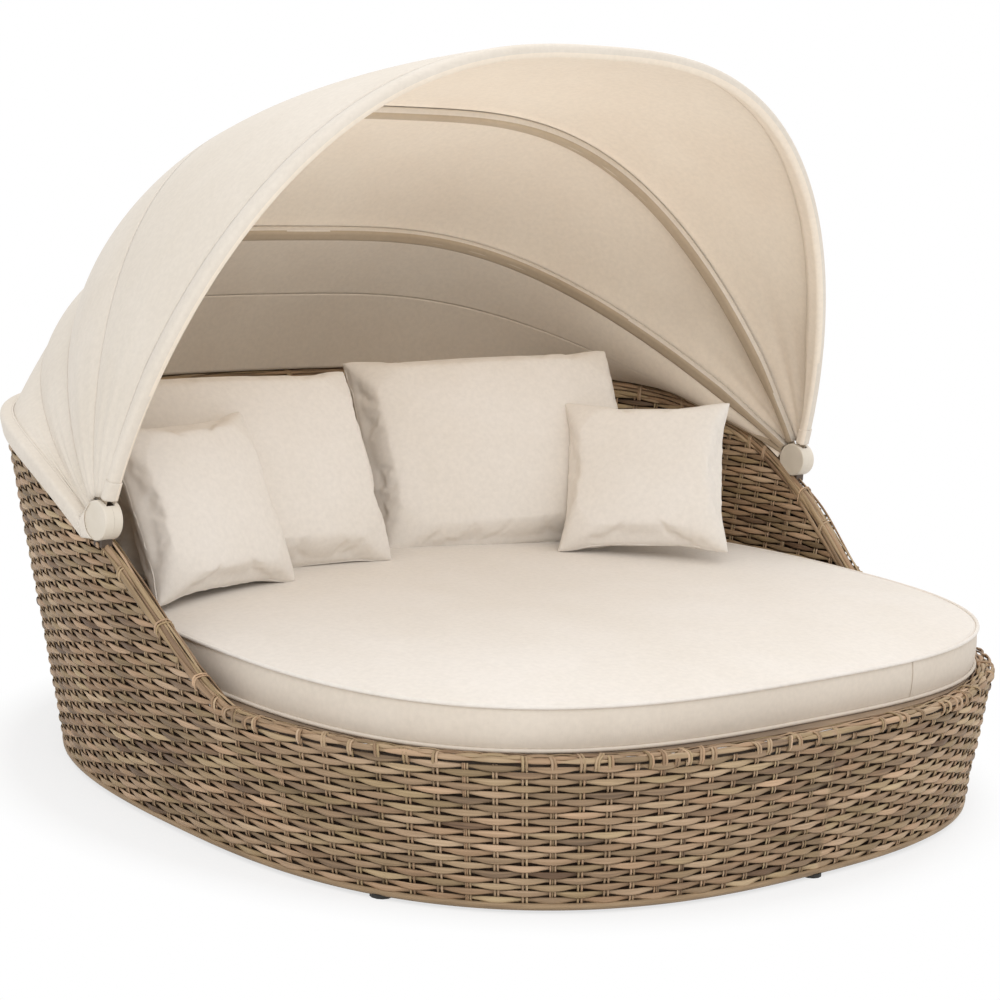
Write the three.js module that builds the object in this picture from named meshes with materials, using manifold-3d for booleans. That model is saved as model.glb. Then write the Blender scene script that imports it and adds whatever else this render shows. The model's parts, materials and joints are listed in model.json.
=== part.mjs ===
// Round outdoor daybed with a folding canopy
// Woven shell over a tubular frame, one thick seat cushion, four pillows and four canopy bows
// Units are millimetres, +Z is up, the open side faces -Y and the part stands on the plane z = 0
import * as THREE from 'three';
import Module from 'manifold-3d';
import { mergeVertices } from 'three/addons/utils/BufferGeometryUtils.js';

const wasm = await Module();
wasm.setup();

// General clearances
const gap = 0.3;
const cutOverrun = 20;

// Outline of the woven shell on the ground, measured from its widest line
const shellHalfWidth = 921;
const shellFrontDepth = 864;
const shellBackDepth = 1010;
const frontRoundness = 2.6;
const backRoundness = 2.58;

// How far the shell leans outwards, as a share of the height
const sideFlareShare = 0.195;
const frontFlareShare = 0.07;
const backFlareShare = 0.19;

// Top edge of the shell: low at the front, then a smooth climb to the back
const frontRimHeight = 304;
const backRimHeight = 741;
const climbStartForward = 228;
const climbEndBackward = 1030;
const climbEaseOut = 3.76;
const climbEaseIn = 1.83;

// Wall: woven skin, tube, woven skin, with a woven border over the top
const wallThickness = 42;
const skinThickness = 9;
const borderHeight = 28;
const borderCrown = 8;
const borderRound = 5;
const skinBottom = 8;
const skinBottomRound = 14;

// Frame
const footHeight = 12;
const footRadius = 22;
const footStemRadius = 7;
const footPadThickness = 8;
const postRadius = 9.5;
const postNotchDepth = 2.5;
const seatRingHeight = 25;
const seatRingWidth = 26;
const seatBeamWidth = 40;
const slatWidth = 90;
const slatThickness = 20;
const slatCount = 5;
const slatInset = 190;
const deckThickness = 8;

// Canopy hubs
const hubOutset = 4.95;
const hubBehindWidestLine = 174;
const hubRadius = 40;
const hubSink = 1.5;
const coverFace = 2.5;
const coverRim = 2.5;
const cheekThickness = 4;
const headHeight = 5;
const headRadius = 7;
const nutHeight = 5;
const nutRadius = 7.5;
const boltRadius = 4;
const boltHoleRadius = 4.15;
const bridgeDrop = 17;
const stemWidth = 30;

// Canopy bows
const bowRadius = 9.5;
const tangThickness = 3;
const tangWidth = 16;
const eyeRadius = 11;
const tangStraight = 42;
const tangGrip = 25;
const tubeStart = 150;
const washerThickness = 0.8;
const washerRadius = 10;

// Canopy cloth
const clothThickness = 1.6;
const clothStart = 46;
const seamLift = 13.2;
const hemBack = 30;
const hemLeast = 4;
const hemFront = 12.5;
const hemCorner = 9.9;
const hemDrop = 12;
const sleeveThickness = 1.2;
const rearHemTop = 22;
const rearHemLift = 1.5;
const rearHemDrop = 34;
const rearSeamAllowance = 1.05;
const rearSeamRise = rearHemLift + gap + clothThickness + rearSeamAllowance;

// Billow of the cloth between two bows
const frontBillow = 22;
const middleBillow = 34;
const backBillow = 14;
const rearBillow = 6;

// Degrees between two bows when the canopy is folded
const foldedSpacing = 7.5;

// How far each bow's top stands from the hub axis
const frontBowReach = 1000;
const secondBowReach = 884;
const thirdBowReach = 890;
const rearBowInsideShell = 63;
const rearBowReach = shellBackDepth - rearBowInsideShell;

// The bows from front to back: angle up from the front, roundness, and place among the hub's layers
const bows = [
  { name: 'front', angle: 74.8, reach: frontBowReach, acrossRoundness: 2.69, upRoundness: 1.74, layer: 3 },
  { name: 'second', angle: 114.6, reach: secondBowReach, acrossRoundness: 3.29, upRoundness: 1.43, layer: 1 },
  { name: 'third', angle: 146.1, reach: thirdBowReach, acrossRoundness: 3.4, upRoundness: 1.25, layer: 0 },
  { name: 'rear', angle: 158.7, reach: rearBowReach, acrossRoundness: 3.5, upRoundness: 1.36, layer: 2 },
];
const [frontBow, secondBow, thirdBow, rearBow] = bows;

// Seat cushion
const cushionSideGap = 30;
const cushionFrontGap = 27.5;
const cushionBackGap = 29.5;
const cushionForward = 31;
const cushionFrontRoundness = 2.99;
const cushionBackRoundness = 1.95;
const cushionSide = 90;
const cushionCrown = 26;
const cushionPiping = 4;
const cushionCorner = 9;
const cushionSideSwell = 3;

// Large pillows
const largePillowWidth = 690;
const largePillowHeight = 468;
const largePillowThickness = 175;
const largePillowDrawIn = 22;

// Small pillows
const smallPillowWidth = 405;
const smallPillowHeight = 400;
const smallPillowThickness = 125;
const smallPillowDrawIn = 18;

const largePillow = {
  width: largePillowWidth,
  height: largePillowHeight,
  thickness: largePillowThickness,
  drawIn: largePillowDrawIn,
};
const smallPillow = {
  width: smallPillowWidth,
  height: smallPillowHeight,
  thickness: smallPillowThickness,
  drawIn: smallPillowDrawIn,
};

// Two large pillows lean in a row across the back with a small one before each outer end
// Shares: across in large widths, behind the row in mean thicknesses, up in the pillow's own height
const pillowRowShare = 0.4868;
const pillows = [
  { name: 'back_pillow_left', size: largePillow, placeShares: [-0.687, 0, 0.4176], tilt: [58.4, -0.3, -5.9] },
  { name: 'back_pillow_right', size: largePillow, placeShares: [0.432, 0.02, 0.4545], tilt: [58.4, -2.7, -15.6] },
  { name: 'throw_pillow_left', size: smallPillow, placeShares: [-0.99, -1.173, 0.4185], tilt: [61.1, -0.5, 9.1] },
  { name: 'throw_pillow_right', size: smallPillow, placeShares: [0.7192, -2.063, 0.44], tilt: [54.7, -4.4, -47.5] },
];

// Finishes
const finish = (color, roughness, metalness) => new THREE.MeshStandardMaterial({ color, roughness, metalness });
const wickerFinish = finish(0x9c8468, 0.75, 0);
const frameFinish = finish(0x8b7f70, 0.5, 0.2);
const hubFinish = finish(0xd9cfc1, 0.45, 0.1);
const steelFinish = finish(0xb5b5b2, 0.3, 0.9);
const canopyFinish = finish(0xe0d7ca, 0.9, 0);
const cushionFinish = finish(0xe8e0d4, 0.9, 0);
const plasticFinish = finish(0x2c2a28, 0.6, 0);

const fullTurn = 2 * Math.PI;
const quarterTurn = Math.PI / 2;
const radians = THREE.MathUtils.degToRad;
const shares = (count) => Array.from({ length: count + 1 }, (_, index) => index / count);
const loopShares = (count) => shares(count).slice(0, count);
const flatten = (points) => points.flatMap((point) => [point.x, point.y, point.z]);

// Closed bodies from grids of points

// Builds the geometry, with its faces turned outwards if the signed volume says that they point in
function facingOut(positions, faces) {
  const corner = (index) => new THREE.Vector3().fromArray(positions, index * 3);
  let volume = 0;
  for (let start = 0; start < faces.length; start += 3) {
    const [a, b, c] = faces.slice(start, start + 3).map(corner);
    volume += a.dot(b.cross(c));
  }
  const geometry = new THREE.BufferGeometry();
  geometry.setAttribute('position', new THREE.Float32BufferAttribute(positions, 3));
  geometry.setIndex(volume > 0 ? faces : faces.slice().reverse());
  geometry.computeVertexNormals();
  return geometry;
}

// A sheet between an outer and an inner grid, row by row along its length; wraps closes the rows to a ring
function sheetBody(outside, inside, wraps = false) {
  const rows = outside.length;
  const columns = outside[0].length;
  const faces = [];
  const at = (side, row, column) => (side * rows + (row % rows)) * columns + column;
  const quad = (a, b, c, d) => faces.push(a, b, c, a, c, d);
  const lastColumn = columns - 1;
  const lastRow = wraps ? rows : rows - 1;
  for (let row = 0; row < lastRow; row += 1) {
    for (let column = 0; column < lastColumn; column += 1) {
      quad(at(0, row, column), at(0, row, column + 1), at(0, row + 1, column + 1), at(0, row + 1, column));
      quad(at(1, row, column), at(1, row + 1, column), at(1, row + 1, column + 1), at(1, row, column + 1));
    }
    quad(at(1, row, 0), at(0, row, 0), at(0, row + 1, 0), at(1, row + 1, 0));
    quad(at(0, row, lastColumn), at(1, row, lastColumn), at(1, row + 1, lastColumn), at(0, row + 1, lastColumn));
  }
  for (let column = 0; column < lastColumn && !wraps; column += 1) {
    quad(at(0, 0, column), at(1, 0, column), at(1, 0, column + 1), at(0, 0, column + 1));
    quad(at(0, lastRow, column), at(0, lastRow, column + 1), at(1, lastRow, column + 1), at(1, lastRow, column));
  }
  return facingOut([...flatten(outside.flat()), ...flatten(inside.flat())], faces);
}

// A loop of sections that closes on itself, such as a bent tube without ends
function ringBody(sections) {
  const size = sections[0].length;
  const faces = [];
  sections.forEach((section, index) => {
    const here = index * size;
    const next = ((index + 1) % sections.length) * size;
    for (let corner = 0; corner < size; corner += 1) {
      const after = (corner + 1) % size;
      faces.push(here + corner, next + corner, next + after);
      faces.push(here + corner, next + after, here + after);
    }
  });
  return facingOut(flatten(sections.flat()), faces);
}

// Rings of points between a pole at the start and a pole at the end, such as a cushion or a post
function polarBody(startPole, rings, endPole) {
  const size = rings[0].length;
  const faces = [];
  const lastRing = 1 + (rings.length - 1) * size;
  const lastPole = lastRing + size;
  for (let corner = 0; corner < size; corner += 1) {
    const after = (corner + 1) % size;
    faces.push(0, 1 + after, 1 + corner);
    faces.push(lastPole, lastRing + corner, lastRing + after);
    for (let here = 1; here < lastRing; here += size) {
      const next = here + size;
      faces.push(here + corner, here + after, next + after);
      faces.push(here + corner, next + after, next + corner);
    }
  }
  return facingOut(flatten([startPole, ...rings.flat(), endPole]), faces);
}

// Joins and cuts

function toSolid(geometry) {
  const bare = geometry.clone();
  bare.deleteAttribute('normal');
  bare.deleteAttribute('uv');
  const merged = mergeVertices(bare);
  return new wasm.Manifold(new wasm.Mesh({
    numProp: 3,
    vertProperties: new Float32Array(merged.getAttribute('position').array),
    triVerts: new Uint32Array(merged.index.array),
  }));
}

function toGeometry(solid) {
  const mesh = solid.getMesh();
  const geometry = new THREE.BufferGeometry();
  geometry.setAttribute('position', new THREE.Float32BufferAttribute(mesh.vertProperties, 3));
  geometry.setIndex(new THREE.Uint32BufferAttribute(mesh.triVerts, 1));
  geometry.computeVertexNormals();
  return geometry;
}

function join(...geometries) {
  return toGeometry(geometries.map(toSolid).reduce((whole, piece) => whole.add(piece)));
}

function cut(geometry, ...tools) {
  return toGeometry(tools.map(toSolid).reduce((whole, tool) => whole.subtract(tool), toSolid(geometry)));
}

// Plain shapes

// A straight round bar along X between two places
function barAlongX(radius, from, to, sides) {
  const bar = new THREE.CylinderGeometry(radius, radius, Math.abs(to - from), sides);
  bar.rotateZ(quarterTurn);
  bar.translate((from + to) / 2, 0, 0);
  return bar;
}

// A block given by its middle across X and Y and its bottom and top
function block(xSize, ySize, bottom, top, middleY = 0) {
  const shape = new THREE.BoxGeometry(xSize, ySize, top - bottom);
  shape.translate(0, middleY, (bottom + top) / 2);
  return shape;
}

// Outline of the shell

// A place on the shell: turn 0 is the right side, a quarter turn is the back
function shellPoint(turn, height, outset) {
  const across = Math.cos(turn);
  const along = Math.sin(turn);
  const isFront = along < 0;
  const halfWidth = shellHalfWidth + sideFlareShare * height + outset;
  const frontDepth = shellFrontDepth + frontFlareShare * height + outset;
  const backDepth = shellBackDepth + backFlareShare * height + outset;
  const power = 2 / (isFront ? frontRoundness : backRoundness);
  return new THREE.Vector3(
    halfWidth * Math.sign(across) * Math.abs(across) ** power,
    (isFront ? frontDepth : backDepth) * Math.sign(along) * Math.abs(along) ** power,
    height,
  );
}

function rimHeightAt(y) {
  const climb = THREE.MathUtils.clamp((y + climbStartForward) / (climbStartForward + climbEndBackward), 0, 1);
  const eased = (1 - (1 - climb) ** climbEaseOut) ** climbEaseIn;
  return frontRimHeight + (backRimHeight - frontRimHeight) * eased;
}

// The rim's height at one turn, settled on the wall's middle line because the wall leans
const settleSteps = 24;
function rimHeight(turn) {
  let height = frontRimHeight;
  for (let step = 0; step < settleSteps; step += 1) {
    height = rimHeightAt(shellPoint(turn, height, -wallThickness / 2).y);
  }
  return height;
}

const rimPoint = (turn, outset, rise) => shellPoint(turn, rimHeight(turn) + rise, outset);

// The turn at which the wall's middle line passes a place behind the widest line
function turnBehind(y) {
  let low = 0;
  let high = quarterTurn;
  for (let step = 0; step < settleSteps; step += 1) {
    const middle = (low + high) / 2;
    if (rimPoint(middle, -wallThickness / 2, 0).y < y) low = middle;
    else high = middle;
  }
  return low;
}

// Every closed ring of the shell and frame has its corners at the same turns, so that they nest:
// even ones, except beside the hubs, where they are at the hub and at the start of the rear hem
const ringSegments = 48;
const ringStep = fullTurn / ringSegments;
const hubTurn = turnBehind(hubBehindWidestLine);
const hemTurn = turnBehind(hubBehindWidestLine + clothStart);
const evenTurns = loopShares(ringSegments).map((share) => share * fullTurn);
const spareTurns = [1, ringSegments / 2 - 1];
const ringTurns = [
  ...evenTurns.filter((turn, index) => !spareTurns.includes(index)),
  ...[hubTurn, hemTurn].flatMap((turn) => [turn, Math.PI - turn]),
].sort((first, second) => first - second);

// Levels and places that follow from the sizes above

const tubeRadius = (wallThickness - 2 * skinThickness - 2 * gap) / 2;
const tubeOutset = -wallThickness / 2;
const railRise = -(borderCrown + gap + tubeRadius);
const floorRingBottom = footHeight + gap;
const floorRingTop = floorRingBottom + 2 * tubeRadius;
const deckTop = frontRimHeight - gap;
const deckBottom = deckTop - deckThickness;
const slatTop = deckBottom - gap;
const slatBottom = slatTop - slatThickness;
const seatRingTop = slatBottom - gap;
const seatRingBottom = seatRingTop - seatRingHeight;
const seatRingOuter = tubeOutset - postRadius + postNotchDepth;
const seatRingInner = seatRingOuter - seatRingWidth;

const bowCount = bows.length;
const tangPitch = tangThickness + washerThickness + 2 * gap;
const stackHalf = (bowCount * tangThickness + (bowCount - 1) * washerThickness) / 2 + bowCount * gap;
const cheekOuter = stackHalf + cheekThickness;
const cheekRadius = hubRadius - coverRim - gap;
const coverOuter = cheekOuter + gap + headHeight + gap + coverFace;
const hubX = rimPoint(hubTurn, hubOutset - wallThickness / 2, 0).x;
const hubZ = rimHeightAt(hubBehindWidestLine) + hubRadius - hubSink;

// The cushion fills the shell at the front rim's height, apart from its gaps to the wall
const cushionBottom = frontRimHeight + gap;
const insideAtRim = (depth, flareShare) => depth + flareShare * frontRimHeight - wallThickness;
const cushionHalfWidth = insideAtRim(shellHalfWidth, sideFlareShare) - cushionSideGap;
const cushionFrontDepth = insideAtRim(shellFrontDepth, frontFlareShare) - cushionFrontGap - cushionForward;
const cushionBackDepth = insideAtRim(shellBackDepth, backFlareShare) - cushionBackGap + cushionForward;

// Frame

function squareRing(outer, inner, bottom, top) {
  return ringBody(ringTurns.map((turn) => [
    shellPoint(turn, bottom, outer),
    shellPoint(turn, top, outer),
    shellPoint(turn, top, inner),
    shellPoint(turn, bottom, inner),
  ]));
}

// The floor tube is bent in two lengths, which meet at the middle of the front and of the back
function floorTube(side) {
  const ring = squareRing(tubeOutset + tubeRadius, tubeOutset - tubeRadius, floorRingBottom, floorRingTop);
  const width = shellHalfWidth + cutOverrun;
  const depth = 2 * (shellBackDepth + cutOverrun);
  const otherLength = block(width, depth, floorRingBottom - cutOverrun, floorRingTop + cutOverrun);
  return cut(ring, otherLength.translate(-side * (width - gap) / 2, 0, 0));
}

// The tube under the woven border; a larger radius gives the tool that cuts a neighbour to it
const railSides = 6;
function railRing(radius) {
  const section = (turn) => loopShares(railSides).map((share) => {
    const around = share * fullTurn;
    return rimPoint(turn, tubeOutset + radius * Math.cos(around), railRise + radius * Math.sin(around));
  });
  return ringBody(ringTurns.map(section));
}

// An upright follows the lean of the wall; a larger radius gives the tool for a notch
const postSides = 8;
function postBody(turn, radius) {
  const loop = (centre) => loopShares(postSides).map((share) => new THREE.Vector3(
    centre.x + radius * Math.cos(share * fullTurn),
    centre.y + radius * Math.sin(share * fullTurn),
    centre.z,
  ));
  const foot = shellPoint(turn, floorRingTop + gap, tubeOutset);
  const head = rimPoint(turn, tubeOutset, railRise - postRadius / 2);
  return polarBody(foot, [loop(foot), loop(head)], head);
}

// Three uprights stand on each side; each is cut to the rail that rests on it
const postTurns = { front: -fullTurn / 6, hub: hubTurn, back: fullTurn / 6 };
const post = (turn) => cut(postBody(turn, postRadius), railRing(tubeRadius + gap));

// The seat ring is notched round the uprights
function seatRing() {
  const notches = Object.values(postTurns)
    .flatMap((turn) => [turn, Math.PI - turn])
    .map((turn) => postBody(turn, postRadius + gap));
  return cut(squareRing(seatRingOuter, seatRingInner, seatRingBottom, seatRingTop), ...notches);
}

// Half the width between the places where a slat ends on the seat ring
function seatHalfWidth(y) {
  const reach = (seatRingOuter + 3 * seatRingInner) / 4;
  const isFront = y < 0;
  const frontDepth = shellFrontDepth + frontFlareShare * seatRingTop + reach;
  const backDepth = shellBackDepth + backFlareShare * seatRingTop + reach;
  const power = isFront ? frontRoundness : backRoundness;
  const share = Math.abs(y) / (isFront ? frontDepth : backDepth);
  return (shellHalfWidth + sideFlareShare * seatRingTop + reach) * (1 - share ** power) ** (1 / power);
}

function slat(index) {
  const first = -shellFrontDepth + slatInset;
  const last = shellBackDepth - slatInset;
  const y = first + (last - first) * (index / (slatCount - 1));
  const farEdge = y + Math.sign(y) * slatWidth / 2;
  return block(2 * seatHalfWidth(farEdge), slatWidth, slatBottom, slatTop, y);
}

function seatBeam() {
  const front = shellPoint(-quarterTurn, seatRingBottom, seatRingInner).y;
  const back = shellPoint(quarterTurn, seatRingBottom, seatRingInner).y;
  const beam = block(seatBeamWidth, back - front, seatRingBottom, seatRingTop, (front + back) / 2);
  const bottom = seatRingBottom - cutOverrun;
  return cut(beam, squareRing(seatRingOuter, seatRingInner - gap, bottom, seatRingTop + cutOverrun));
}

const footSides = 12;
function foot() {
  const profile = [
    [0, 0],
    [footRadius, 0],
    [footRadius, footPadThickness],
    [footStemRadius, footPadThickness],
    [footStemRadius, footHeight],
    [0, footHeight],
  ].map(([radius, height]) => new THREE.Vector2(radius, height));
  return new THREE.LatheGeometry(profile, footSides).rotateX(quarterTurn);
}

// Woven shell

function outerSkin() {
  const top = -borderHeight - gap;
  const outside = ringTurns.map((turn) => [
    rimPoint(turn, 0, top),
    shellPoint(turn, skinBottom + skinBottomRound, 0),
    shellPoint(turn, skinBottom, -skinThickness / 2),
  ]);
  const inside = ringTurns.map((turn) => [
    rimPoint(turn, -skinThickness, top),
    shellPoint(turn, skinBottom + skinBottomRound, -skinThickness),
    shellPoint(turn, skinBottom, -skinThickness),
  ]);
  return sheetBody(outside, inside, true);
}

// The border is a channel over the rail; each hub stands in a notch of it
function borderRing() {
  const inner = -wallThickness;
  const section = (turn) => [
    rimPoint(turn, 0, -borderHeight),
    rimPoint(turn, 0, -borderRound),
    rimPoint(turn, -2 * borderRound, 0),
    rimPoint(turn, inner + 2 * borderRound, 0),
    rimPoint(turn, inner, -borderRound),
    rimPoint(turn, inner, -borderHeight),
    rimPoint(turn, inner + skinThickness, -borderHeight),
    rimPoint(turn, inner + skinThickness, -borderCrown),
    rimPoint(turn, -skinThickness, -borderCrown),
    rimPoint(turn, -skinThickness, -borderHeight),
  ];
  const ring = ringBody(ringTurns.map(section));
  const notches = [-1, 1].flatMap((side) => [
    barAlongX(hubRadius + gap, -coverOuter - gap, coverOuter + gap, hubSides),
    block(2 * cheekOuter + 2 * gap, stemWidth + 2 * gap, -hubRadius - borderHeight, 0),
  ].map((tool) => tool.translate(side * hubX, hubBehindWidestLine, hubZ)));
  return cut(ring, ...notches);
}

// The inner skin lines the wall where the rim stands above the seat
function innerSkin() {
  const turns = [ringTurns.at(-1), ...ringTurns.filter((turn) => turn < Math.PI + 3 / 2 * ringStep)];
  const grid = (outset) => turns.map((turn) => {
    const top = rimPoint(turn, outset, -borderHeight - gap);
    const middle = Math.min(deckTop, (top.z + slatBottom) / 2);
    return [top, shellPoint(turn, middle, outset), shellPoint(turn, slatBottom, outset)];
  });
  return sheetBody(grid(-wallThickness + skinThickness), grid(-wallThickness));
}

// The woven seat panel closes the shell inside the border
function seatDeck() {
  const loop = (height) => ringTurns.map((turn) => shellPoint(turn, height, -wallThickness - gap));
  const centre = (height) => new THREE.Vector3(0, 0, height);
  return polarBody(centre(deckBottom), [loop(deckBottom), loop(deckTop)], centre(deckTop));
}

// Canopy hubs, each measured from the middle of its bolt

const hubSides = 24;
const boltSides = 16;
const boltHole = (x) => barAlongX(boltHoleRadius, x - cutOverrun, x + cutOverrun, boltSides);

// Two cheeks on a bridge, with a stem that stands on the rail
function hubClevis(side) {
  const stemBottom = hubSink - hubRadius + railRise + tubeRadius / 2;
  const bridge = block(2 * cheekOuter, stemWidth, stemBottom, -bridgeDrop);
  const cheeks = [-1, 1].map((face) => barAlongX(cheekRadius, face * stackHalf, face * cheekOuter, hubSides));
  const rail = railRing(tubeRadius + gap).translate(-side * hubX, -hubBehindWidestLine, -hubZ);
  return cut(join(bridge, ...cheeks), boltHole(0), rail);
}

// A cup over one cheek: both cups meet at the hub's middle, apart from the way that the bows sweep
function hubCover(face) {
  const cup = barAlongX(hubRadius, face * gap / 2, face * coverOuter, hubSides);
  const hollow = barAlongX(hubRadius - coverRim, -face * cutOverrun, face * (coverOuter - coverFace), hubSides);
  const stem = block(2 * cheekOuter + 2 * gap, stemWidth + 2 * gap, -hubRadius - cutOverrun, 0);
  return cut(cup, hollow, stem, sweepTool());
}

// The way of the tangs through the covers, from before the front bow to behind the rear bow
const sweepMargin = 22;
function sweepTool() {
  const reach = hubRadius + cutOverrun;
  const [start, end] = [radians(frontBow.angle - sweepMargin), radians(rearBow.angle + sweepMargin)];
  const outline = new THREE.Shape();
  outline.lineTo(reach * Math.cos(start), reach * Math.sin(start));
  outline.absarc(0, 0, reach, start, end, false);
  const wedge = new THREE.ExtrudeGeometry(outline, { depth: 2 * stackHalf, bevelEnabled: false, curveSegments: 8 });
  wedge.translate(0, 0, -stackHalf);
  // The outline's X becomes -Y of the hub, its Y becomes Z and its depth lies along X
  const basis = new THREE.Matrix4().makeBasis(
    new THREE.Vector3(0, -1, 0),
    new THREE.Vector3(0, 0, 1),
    new THREE.Vector3(-1, 0, 0),
  );
  return wedge.applyMatrix4(basis);
}

const hexSides = 6;
const roundSides = 12;
function hubBolt() {
  const shaft = barAlongX(boltRadius, -cheekOuter - gap - nutHeight, cheekOuter + gap, boltSides);
  const head = barAlongX(headRadius, cheekOuter + gap, cheekOuter + gap + headHeight, hexSides);
  return join(shaft, head);
}

function hubNut() {
  const body = barAlongX(nutRadius, -cheekOuter - gap - nutHeight, -cheekOuter - gap, hexSides);
  return cut(body, boltHole(0));
}

function washer() {
  const body = barAlongX(washerRadius, -washerThickness / 2, washerThickness / 2, roundSides);
  return cut(body, boltHole(0));
}

// Canopy bows, each upright in the XZ plane and measured from the hub axis

class BowCurve extends THREE.Curve {
  constructor(bow) {
    super();
    this.bow = bow;
    this.lastTurn = Math.acos((tubeStart / bow.reach) ** (bow.upRoundness / 2));
  }

  getPoint(share, target = new THREE.Vector3()) {
    return target.copy(bowPoint(this.bow, (2 * share - 1) * this.lastTurn));
  }
}

// Turn 0 is the top of the bow, a quarter turn is the hub
function bowPoint(bow, turn) {
  const side = Math.sin(turn);
  const x = hubX * Math.sign(side) * Math.abs(side) ** (2 / bow.acrossRoundness);
  return new THREE.Vector3(x, 0, bow.reach * Math.cos(turn) ** (2 / bow.upRoundness));
}

function bowPointAt(bow, radius, side) {
  return bowPoint(bow, side * Math.acos((radius / bow.reach) ** (bow.upRoundness / 2)));
}

// The flattened end of a bow: an eye on the bolt and a plate that leans in to the tube
function tang(bow, side) {
  const x = side * (hubX + (bow.layer - (bowCount - 1) / 2) * tangPitch);
  const end = bowPointAt(bow, tubeStart + tangGrip, side);
  const half = tangThickness / 2;
  const outline = new THREE.Shape([
    new THREE.Vector2(x - half, 0),
    new THREE.Vector2(x + half, 0),
    new THREE.Vector2(x + half, tangStraight),
    new THREE.Vector2(end.x + half, end.z),
    new THREE.Vector2(end.x - half, end.z),
    new THREE.Vector2(x - half, tangStraight),
  ]);
  const plate = new THREE.ExtrudeGeometry(outline, { depth: tangWidth, bevelEnabled: false });
  plate.translate(0, 0, -tangWidth / 2);
  plate.rotateX(quarterTurn);
  const eye = barAlongX(eyeRadius, x - half, x + half, roundSides);
  return cut(join(plate, eye), boltHole(x));
}

const bowSteps = 24;
const bowSides = 4;
function bowBody(bow) {
  const section = new THREE.Shape().absarc(0, 0, bowRadius, 0, fullTurn, false);
  const tube = new THREE.ExtrudeGeometry(section, {
    extrudePath: new BowCurve(bow),
    steps: bowSteps,
    curveSegments: bowSides,
    bevelEnabled: false,
  });
  return join(tube, tang(bow, -1), tang(bow, 1));
}

// Canopy cloth

// Places along a bow with the way out of the arch; the ones on the tube are those of its mesh
function bowStations(bow) {
  const nearHub = [clothStart, (clothStart + tubeStart) / 2];
  const points = [
    ...nearHub.map((radius) => bowPointAt(bow, radius, -1)),
    ...new BowCurve(bow).getSpacedPoints(bowSteps),
    ...nearHub.reverse().map((radius) => bowPointAt(bow, radius, 1)),
  ];
  return points.map((point, index) => {
    const before = points[Math.max(index - 1, 0)];
    const after = points[Math.min(index + 1, points.length - 1)];
    const along = after.clone().sub(before).normalize();
    return { point, outward: new THREE.Vector3(-along.z, 0, along.x) };
  });
}

const tubeStations = (bow) => bowStations(bow).slice(2, -2);

// A point at a station, moved outwards and across the bow's plane
function offsetPoint({ point, outward }, outwards, across) {
  return point.clone().addScaledVector(outward, outwards).add(new THREE.Vector3(0, across, 0));
}

const bowTilt = (bow) => quarterTurn - radians(bow.angle);

// A seam line along a bow, turned with it into the hub axis's frame
function seamLine(bow, liftAt, acrossAt) {
  const tilt = bowTilt(bow);
  const axis = new THREE.Vector3(1, 0, 0);
  return bowStations(bow).map((station) => ({
    point: offsetPoint(station, liftAt(station), acrossAt(station)).applyAxisAngle(axis, tilt),
    outward: station.outward.clone().applyAxisAngle(axis, tilt),
  }));
}

// The front hem narrows towards the hubs, so that the folded bows lie behind it
const hemWidthAt = ({ point }) => {
  const betweenBows = point.z * Math.sin(radians(foldedSpacing)) - bowRadius - sleeveThickness - 2 * gap;
  return THREE.MathUtils.clamp(betweenBows, hemLeast, hemBack);
};
const hemDropAt = (station) => hemDrop * hemWidthAt(station) / hemBack;

// The line where the rear panel meets the shell's rim, from the left hub round the back to the right one
function rimLine(count) {
  const path = new THREE.CatmullRomCurve3(shares(2 * ringSegments).map((share) => {
    const turn = Math.PI - hemTurn + share * (2 * hemTurn - Math.PI);
    return rimPoint(turn, -rearHemTop, rearSeamRise);
  }));
  return path.getSpacedPoints(count).map((point) => ({
    point: point.sub(new THREE.Vector3(0, hubBehindWidestLine, hubZ)),
    outward: new THREE.Vector3(point.x, point.y, 0).normalize().add(new THREE.Vector3(0, 0, 1)).normalize(),
  }));
}

// A panel from one seam line to the next, billowing outwards between them
const panelColumns = 4;
function panel(fromLine, toLine, billow) {
  const outside = [];
  const inside = [];
  fromLine.forEach((start, index) => {
    const end = toLine[index];
    const fullness = Math.sin(Math.PI * index / (fromLine.length - 1)) ** (1 / 2);
    const inset = gap / 2 / start.point.distanceTo(end.point);
    const row = shares(panelColumns).map((share) => {
      const place = inset + share * (1 - 2 * inset);
      const out = start.outward.clone().lerp(end.outward, place).normalize();
      const point = start.point.clone().lerp(end.point, place);
      return { out, point: point.addScaledVector(out, billow * fullness * 4 * place * (1 - place)) };
    });
    inside.push(row.map(({ point }) => point));
    outside.push(row.map(({ point, out }) => point.clone().addScaledVector(out, clothThickness)));
  });
  return sheetBody(outside, inside);
}

// A band of cloth along a bow, given by its section in shares of the station's frame
function bandBody(stations, sectionAt) {
  const grid = (extra) => stations.map((station) => sectionAt(station, extra)
    .map(([outwards, across]) => offsetPoint(station, outwards, across)));
  return sheetBody(grid(1), grid(0));
}

// The hem wraps the front bow from above, round its front and back below it
function frontHem() {
  return bandBody(bowStations(frontBow), (station, layer) => {
    const width = hemWidthAt(station);
    const grow = layer * clothThickness;
    return [
      [seamLift - hemDropAt(station) + grow, width],
      [seamLift + grow, 0],
      [hemCorner + grow, -hemFront + clothThickness - grow],
      [-hemCorner - grow, -hemFront + clothThickness - grow],
      [-seamLift - grow, 0],
      [-seamLift - grow, width],
    ];
  });
}

// The pocket under a bow's tube
function sleeve(bow) {
  const sleeveSteps = bowSides;
  return bandBody(tubeStations(bow), (station, layer) => {
    const radius = bowRadius + gap + layer * sleeveThickness;
    return shares(sleeveSteps).map((share) => [
      -radius * Math.sin(share * Math.PI),
      radius * Math.cos(share * Math.PI),
    ]);
  });
}

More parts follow.
